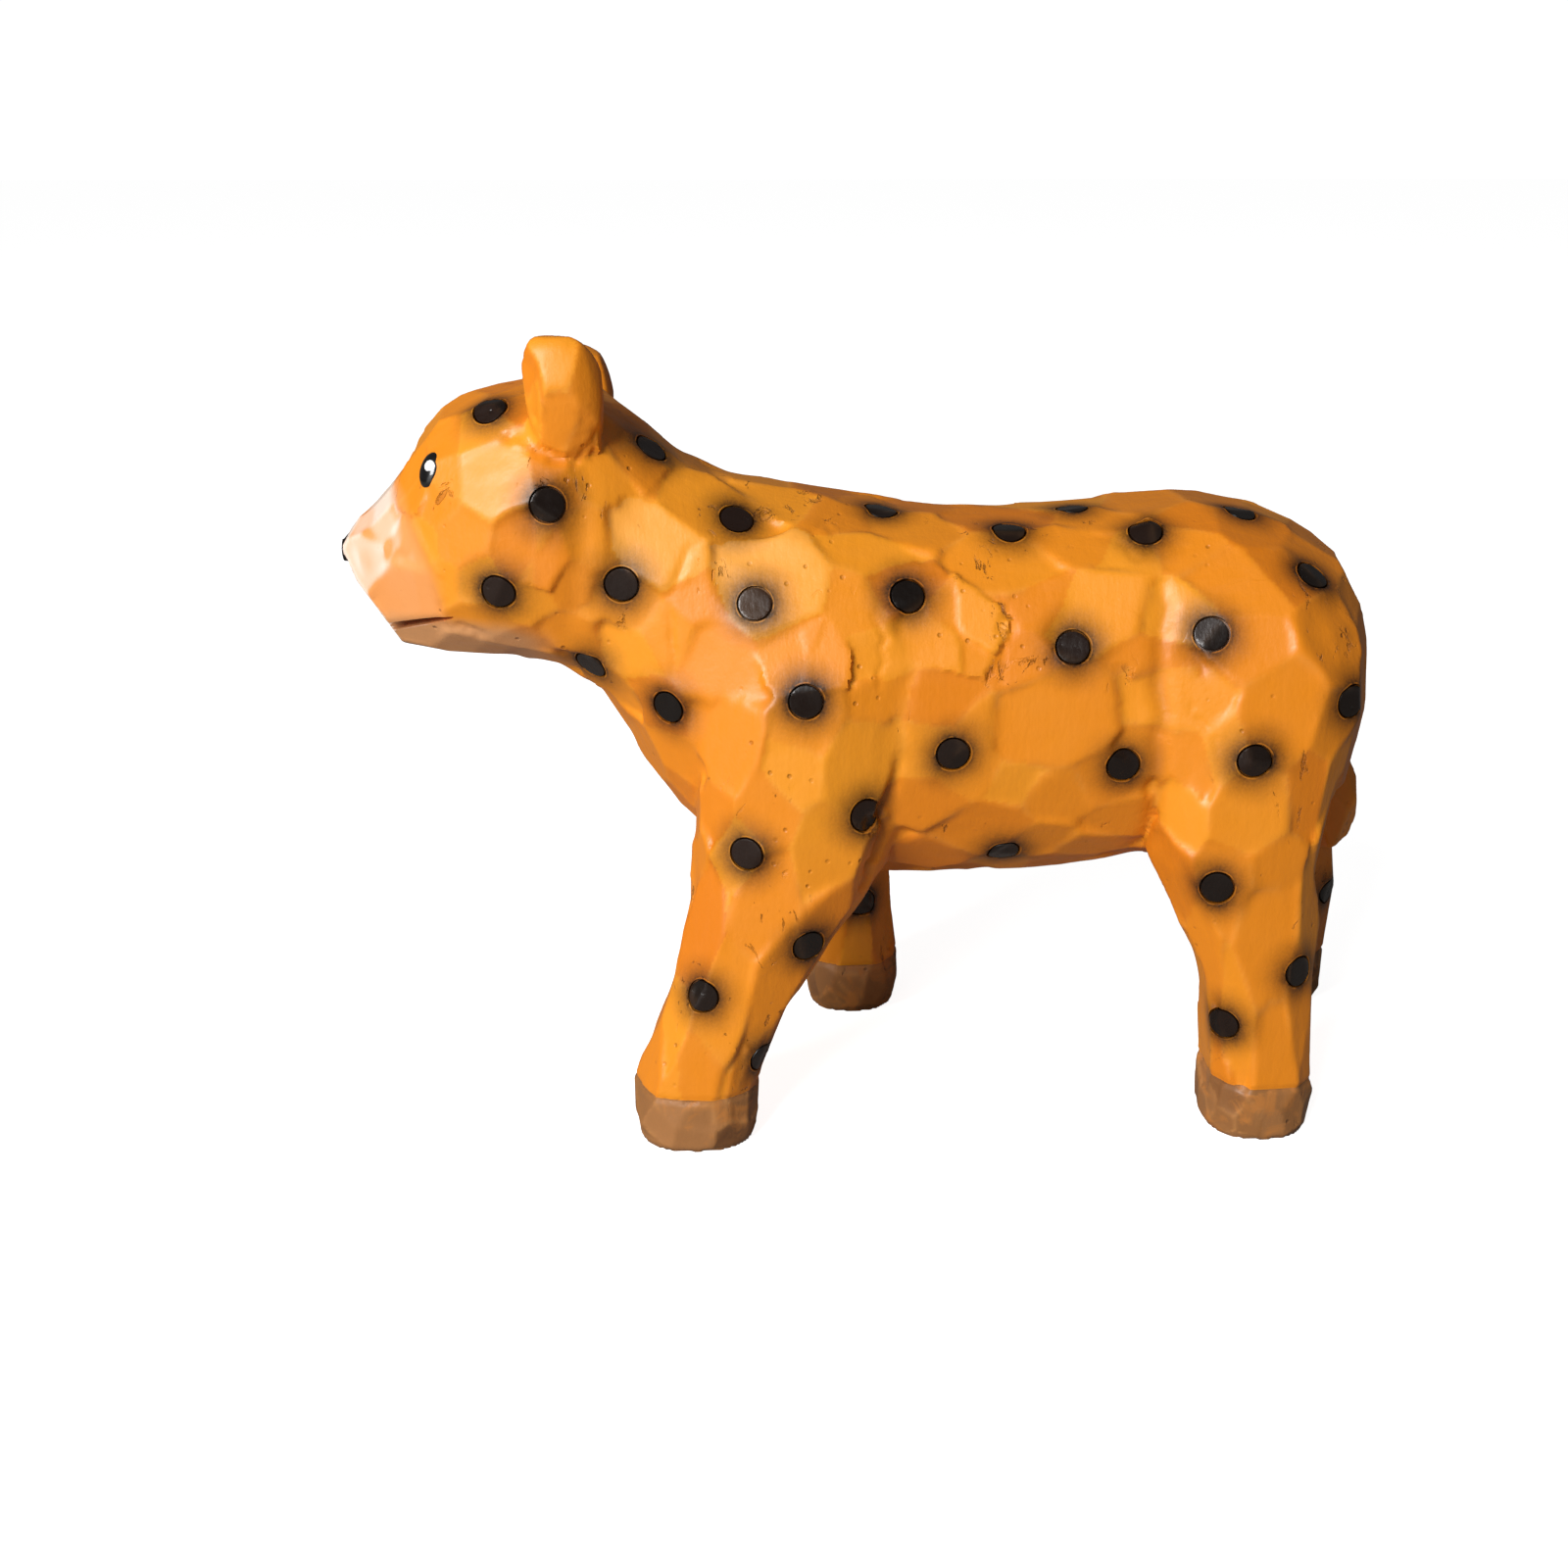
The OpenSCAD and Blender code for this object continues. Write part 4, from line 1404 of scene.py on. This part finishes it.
class Dresser:
    """Stores paint masks on the pieces, gives them their finish and slot, and parents them to their body."""

    def __init__(self, skin: bpy.types.Object, pegs: Sequence[Peg], materials: dict[str, bpy.types.Material]):
        self.materials = materials
        self.spots = np.array([p.centre for p in pegs])
        self.tree = KDTree(len(skin.data.vertices))
        co = points_of(skin.data)
        for i, p in enumerate(co):
            self.tree.insert(p, i)
        self.tree.balance()
        carved = skin.data.attributes
        masks = ("tone", "ridge", "groove")
        self.store = {name: column(carved[name].data, "value", 1, np.float32)[:, 0] for name in masks}

    def recall(self, obj: bpy.types.Object) -> None:
        """Brings the carving's own masks back from the nearest place on the whole skin."""
        co = points_of(obj.data)
        near = np.array([self.tree.find(p)[1] for p in co], dtype=np.int64)
        for name, values in self.store.items():
            write_attribute(obj.data, name, values[near])

    def spray(self, obj: bpy.types.Object) -> None:
        """Stores the distance to the nearest spot, in millimetres."""
        co = points_of(obj.data)
        _, away = nearest(co, self.spots, 1)
        write_attribute(obj.data, "spray", np.minimum(away[:, 0] / MM, 12))

    def face(self, obj: bpy.types.Object) -> None:
        """Stores the pale muzzle, the tan chin and the white lip of the head."""
        co, no = points_of(obj.data) / MM, normals_of(obj.data)
        x, _, z = co.T
        edge = np.interp(z, (66, 73, 80, 89.5, 93), (-59.0, -59.4, -60.4, -64.5, -68.0))
        ahead = np.clip((edge + 1.5 - x) / 4.5, 0, 1)
        write_attribute(obj.data, "muzzle", ahead)
        lower = np.clip((75.5 - z) / 4.5, 0, 1) * np.clip((-42 - x) / 10, 0, 1)
        write_attribute(obj.data, "chin", lower)
        front = np.clip((-no[:, 0] - 0.38) / 0.4, 0, 1) * np.clip((edge - 1.0 - x) / 3, 0, 1)
        write_attribute(obj.data, "lip", front)

    def finish(self, obj: bpy.types.Object, node: str, look: str) -> None:
        """Gives a piece its material and slot, parents it to its body and hides the CAD node that it stands
        for.
        """
        mesh = obj.data
        mesh.materials.clear()
        mesh.materials.append(self.materials[look])
        mesh.polygons.foreach_set("use_smooth", [True] * len(mesh.polygons))
        mesh.set_sharp_from_angle(angle=SHARP)
        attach(obj, BODY)
        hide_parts(node)
        mesh.calc_loop_triangles()
        log.info("%s: %d triangles", obj.name, len(mesh.loop_triangles))


# ---------------------------------------------------------------- studio


WHITE = (1.0, 1.0, 1.0)


def by_ray(n: Nodes, lighting: bpy.types.Node, seen: bpy.types.Node) -> bpy.types.NodeSocket:
    """One shader for what light meets and another for what the camera sees."""
    path = n.add("ShaderNodeLightPath")
    values = {0: path.outputs["Is Camera Ray"], 1: lighting.outputs[0], 2: seen.outputs[0]}
    return n.add("ShaderNodeMixShader", values).outputs[0]


@dataclass
class Studio:
    """Pale floor, soft lights and the camera."""

    key: float = 8.9
    fill: float = 0.7
    sky: float = 0.10
    backdrop: float = 1.05
    floor_glow: float = 0.9

    def build(self) -> None:
        """Sets the studio up."""
        self.floor()
        self.world()
        self.light("key", (-0.47, -0.62, 0.50), 0.42, self.key)
        self.light("fill", (-0.55, -0.55, -0.02), 0.5, self.fill)
        self.camera()

    def floor(self) -> None:
        """A large white floor that shows white but throws little light back up."""
        bm = bmesh.new()
        bmesh.ops.create_grid(bm, x_segments=1, y_segments=1, size=6.0)
        obj = bmesh_object("floor", bm)
        material = bpy.data.materials.new("floor_paper")
        n = cleared(material)
        seen = n.add("ShaderNodeBsdfDiffuse", {"Color": (0.9, 0.9, 0.9)})
        bright = n.add("ShaderNodeEmission", {"Color": WHITE, "Strength": self.floor_glow})
        both = n.add("ShaderNodeAddShader", {0: seen.outputs[0], 1: bright.outputs[0]})
        grey = n.add("ShaderNodeBsdfDiffuse", {"Color": (0.32, 0.30, 0.28)})
        n.put(n.add("ShaderNodeOutputMaterial").inputs["Surface"], by_ray(n, grey, both))
        obj.data.materials.append(material)

    def world(self) -> None:
        """White behind the figurine, softer as a light."""
        world = bpy.data.worlds.new("studio")
        bpy.context.scene.world = world
        n = cleared(world)
        glow = n.add("ShaderNodeBackground", {"Color": WHITE, "Strength": self.sky})
        white = n.add("ShaderNodeBackground", {"Color": WHITE, "Strength": self.backdrop})
        n.put(n.add("ShaderNodeOutputWorld").inputs["Surface"], by_ray(n, glow, white))

    def light(self, name: str, place: Triple, size: float, power: float) -> None:
        """A square soft light aimed at the figurine."""
        data = bpy.data.lights.new(name, "AREA")
        data.shape, data.size, data.energy = "SQUARE", size, power
        obj = bpy.data.objects.new(name, data)
        aim = Vector((0, 0, 0.06)) - Vector(place)
        obj.location = place
        obj.rotation_euler = aim.to_track_quat("-Z", "Y").to_euler()
        bpy.context.scene.collection.objects.link(obj)

    def camera(self) -> None:
        """The camera, left of the middle and a little above the back."""
        data = bpy.data.cameras.new("camera")
        data.sensor_width, data.lens = 36.0, 38.8
        data.clip_start, data.clip_end = 0.01, 20.0
        obj = bpy.data.objects.new("camera", data)
        obj.location = (-24.04 * MM, -230 * MM, 132.84 * MM)
        obj.rotation_euler = (math.radians(90 - 20.907), 0, math.radians(-2.246))
        bpy.context.scene.collection.objects.link(obj)
        bpy.context.scene.camera = obj
        bpy.context.scene.view_settings.view_transform = "Standard"


# ---------------------------------------------------------------- main


def cut_mouth(skin: bpy.types.Object) -> None:
    """Cuts the mouth slit: a thin blade through the front of the head, narrowing to the corners."""
    bm = bmesh.new()
    bmesh.ops.create_uvsphere(bm, u_segments=64, v_segments=32, radius=1.0)
    bmesh.ops.scale(bm, vec=(15.0 * MM, 30 * MM, 0.72 * MM), verts=bm.verts)
    bmesh.ops.transform(bm, matrix=stood(Vector((-71.8, 0, 70.2)) * MM, MOUTH_DOWN), verts=bm.verts)
    blade = bmesh_object("blade", bm)
    boolean(skin, blade, "DIFFERENCE")
    drop(blade)


def carried_over(materials: dict[str, bpy.types.Material]) -> None:
    """Gives the dowels and pegs, which stay as the CAD made them, a plain wood finish."""
    for node in DOWELS:
        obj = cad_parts[node]
        if not obj.material_slots:
            obj.data.materials.append(materials["wood"])
        for slot in obj.material_slots:
            slot.material = materials["wood"]
        log.info("%s: kept from the CAD", node)


def main() -> None:
    """Builds the cub piece by piece."""
    materials = make_materials()
    skin = CarvedSkin().build()
    mesh = skin.data
    whole = BVHTree.FromPolygons([v.co for v in mesh.vertices], [p.vertices for p in mesh.polygons])
    pegs = read_pegs(whole)
    dresser = Dresser(skin, pegs, materials)
    plugs = SpotPlugs().trim(skin, pegs)
    cut_mouth(skin)
    saw = Saw(skin)
    saw.legs()
    saw.ears()
    saw.trunk()
    head = Block.HEAD.value
    for node in (*(block.value for block in Block), *EARS):
        piece = saw.made[node]
        dresser.recall(piece)
        dresser.spray(piece)
        if node == head:
            dresser.face(piece)
        dresser.finish(piece, node, "head" if node == head else "coat")
    shoes = [(foot, saw.made[foot], "hoof") for foot in FEET]
    # The feet and plugs take the facet tones too; a plug under a chosen cut toned above 1 gets the pale worn
    # colour as a painted reflection.
    for node, piece, look in [*shoes, *((node, piece, "spot") for node, piece in plugs.items())]:
        dresser.recall(piece)
        dresser.finish(piece, node, look)
    tail = SmallCarving("tail").build()
    dresser.spray(tail)
    dresser.finish(tail, "tail", "coat")
    nose = SmallCarving("nose_tip", voxel=0.16 * MM, ease=10, seed=9, work=NOSE_WORK, grow=0.35 * MM).build()
    dresser.finish(nose, "nose_tip", "nose")
    for node in EYES:
        dresser.finish(Eye(node).build(whole), node, "eye")
    carried_over(materials)
    Studio().build()


if __name__ == "__main__":
    main()
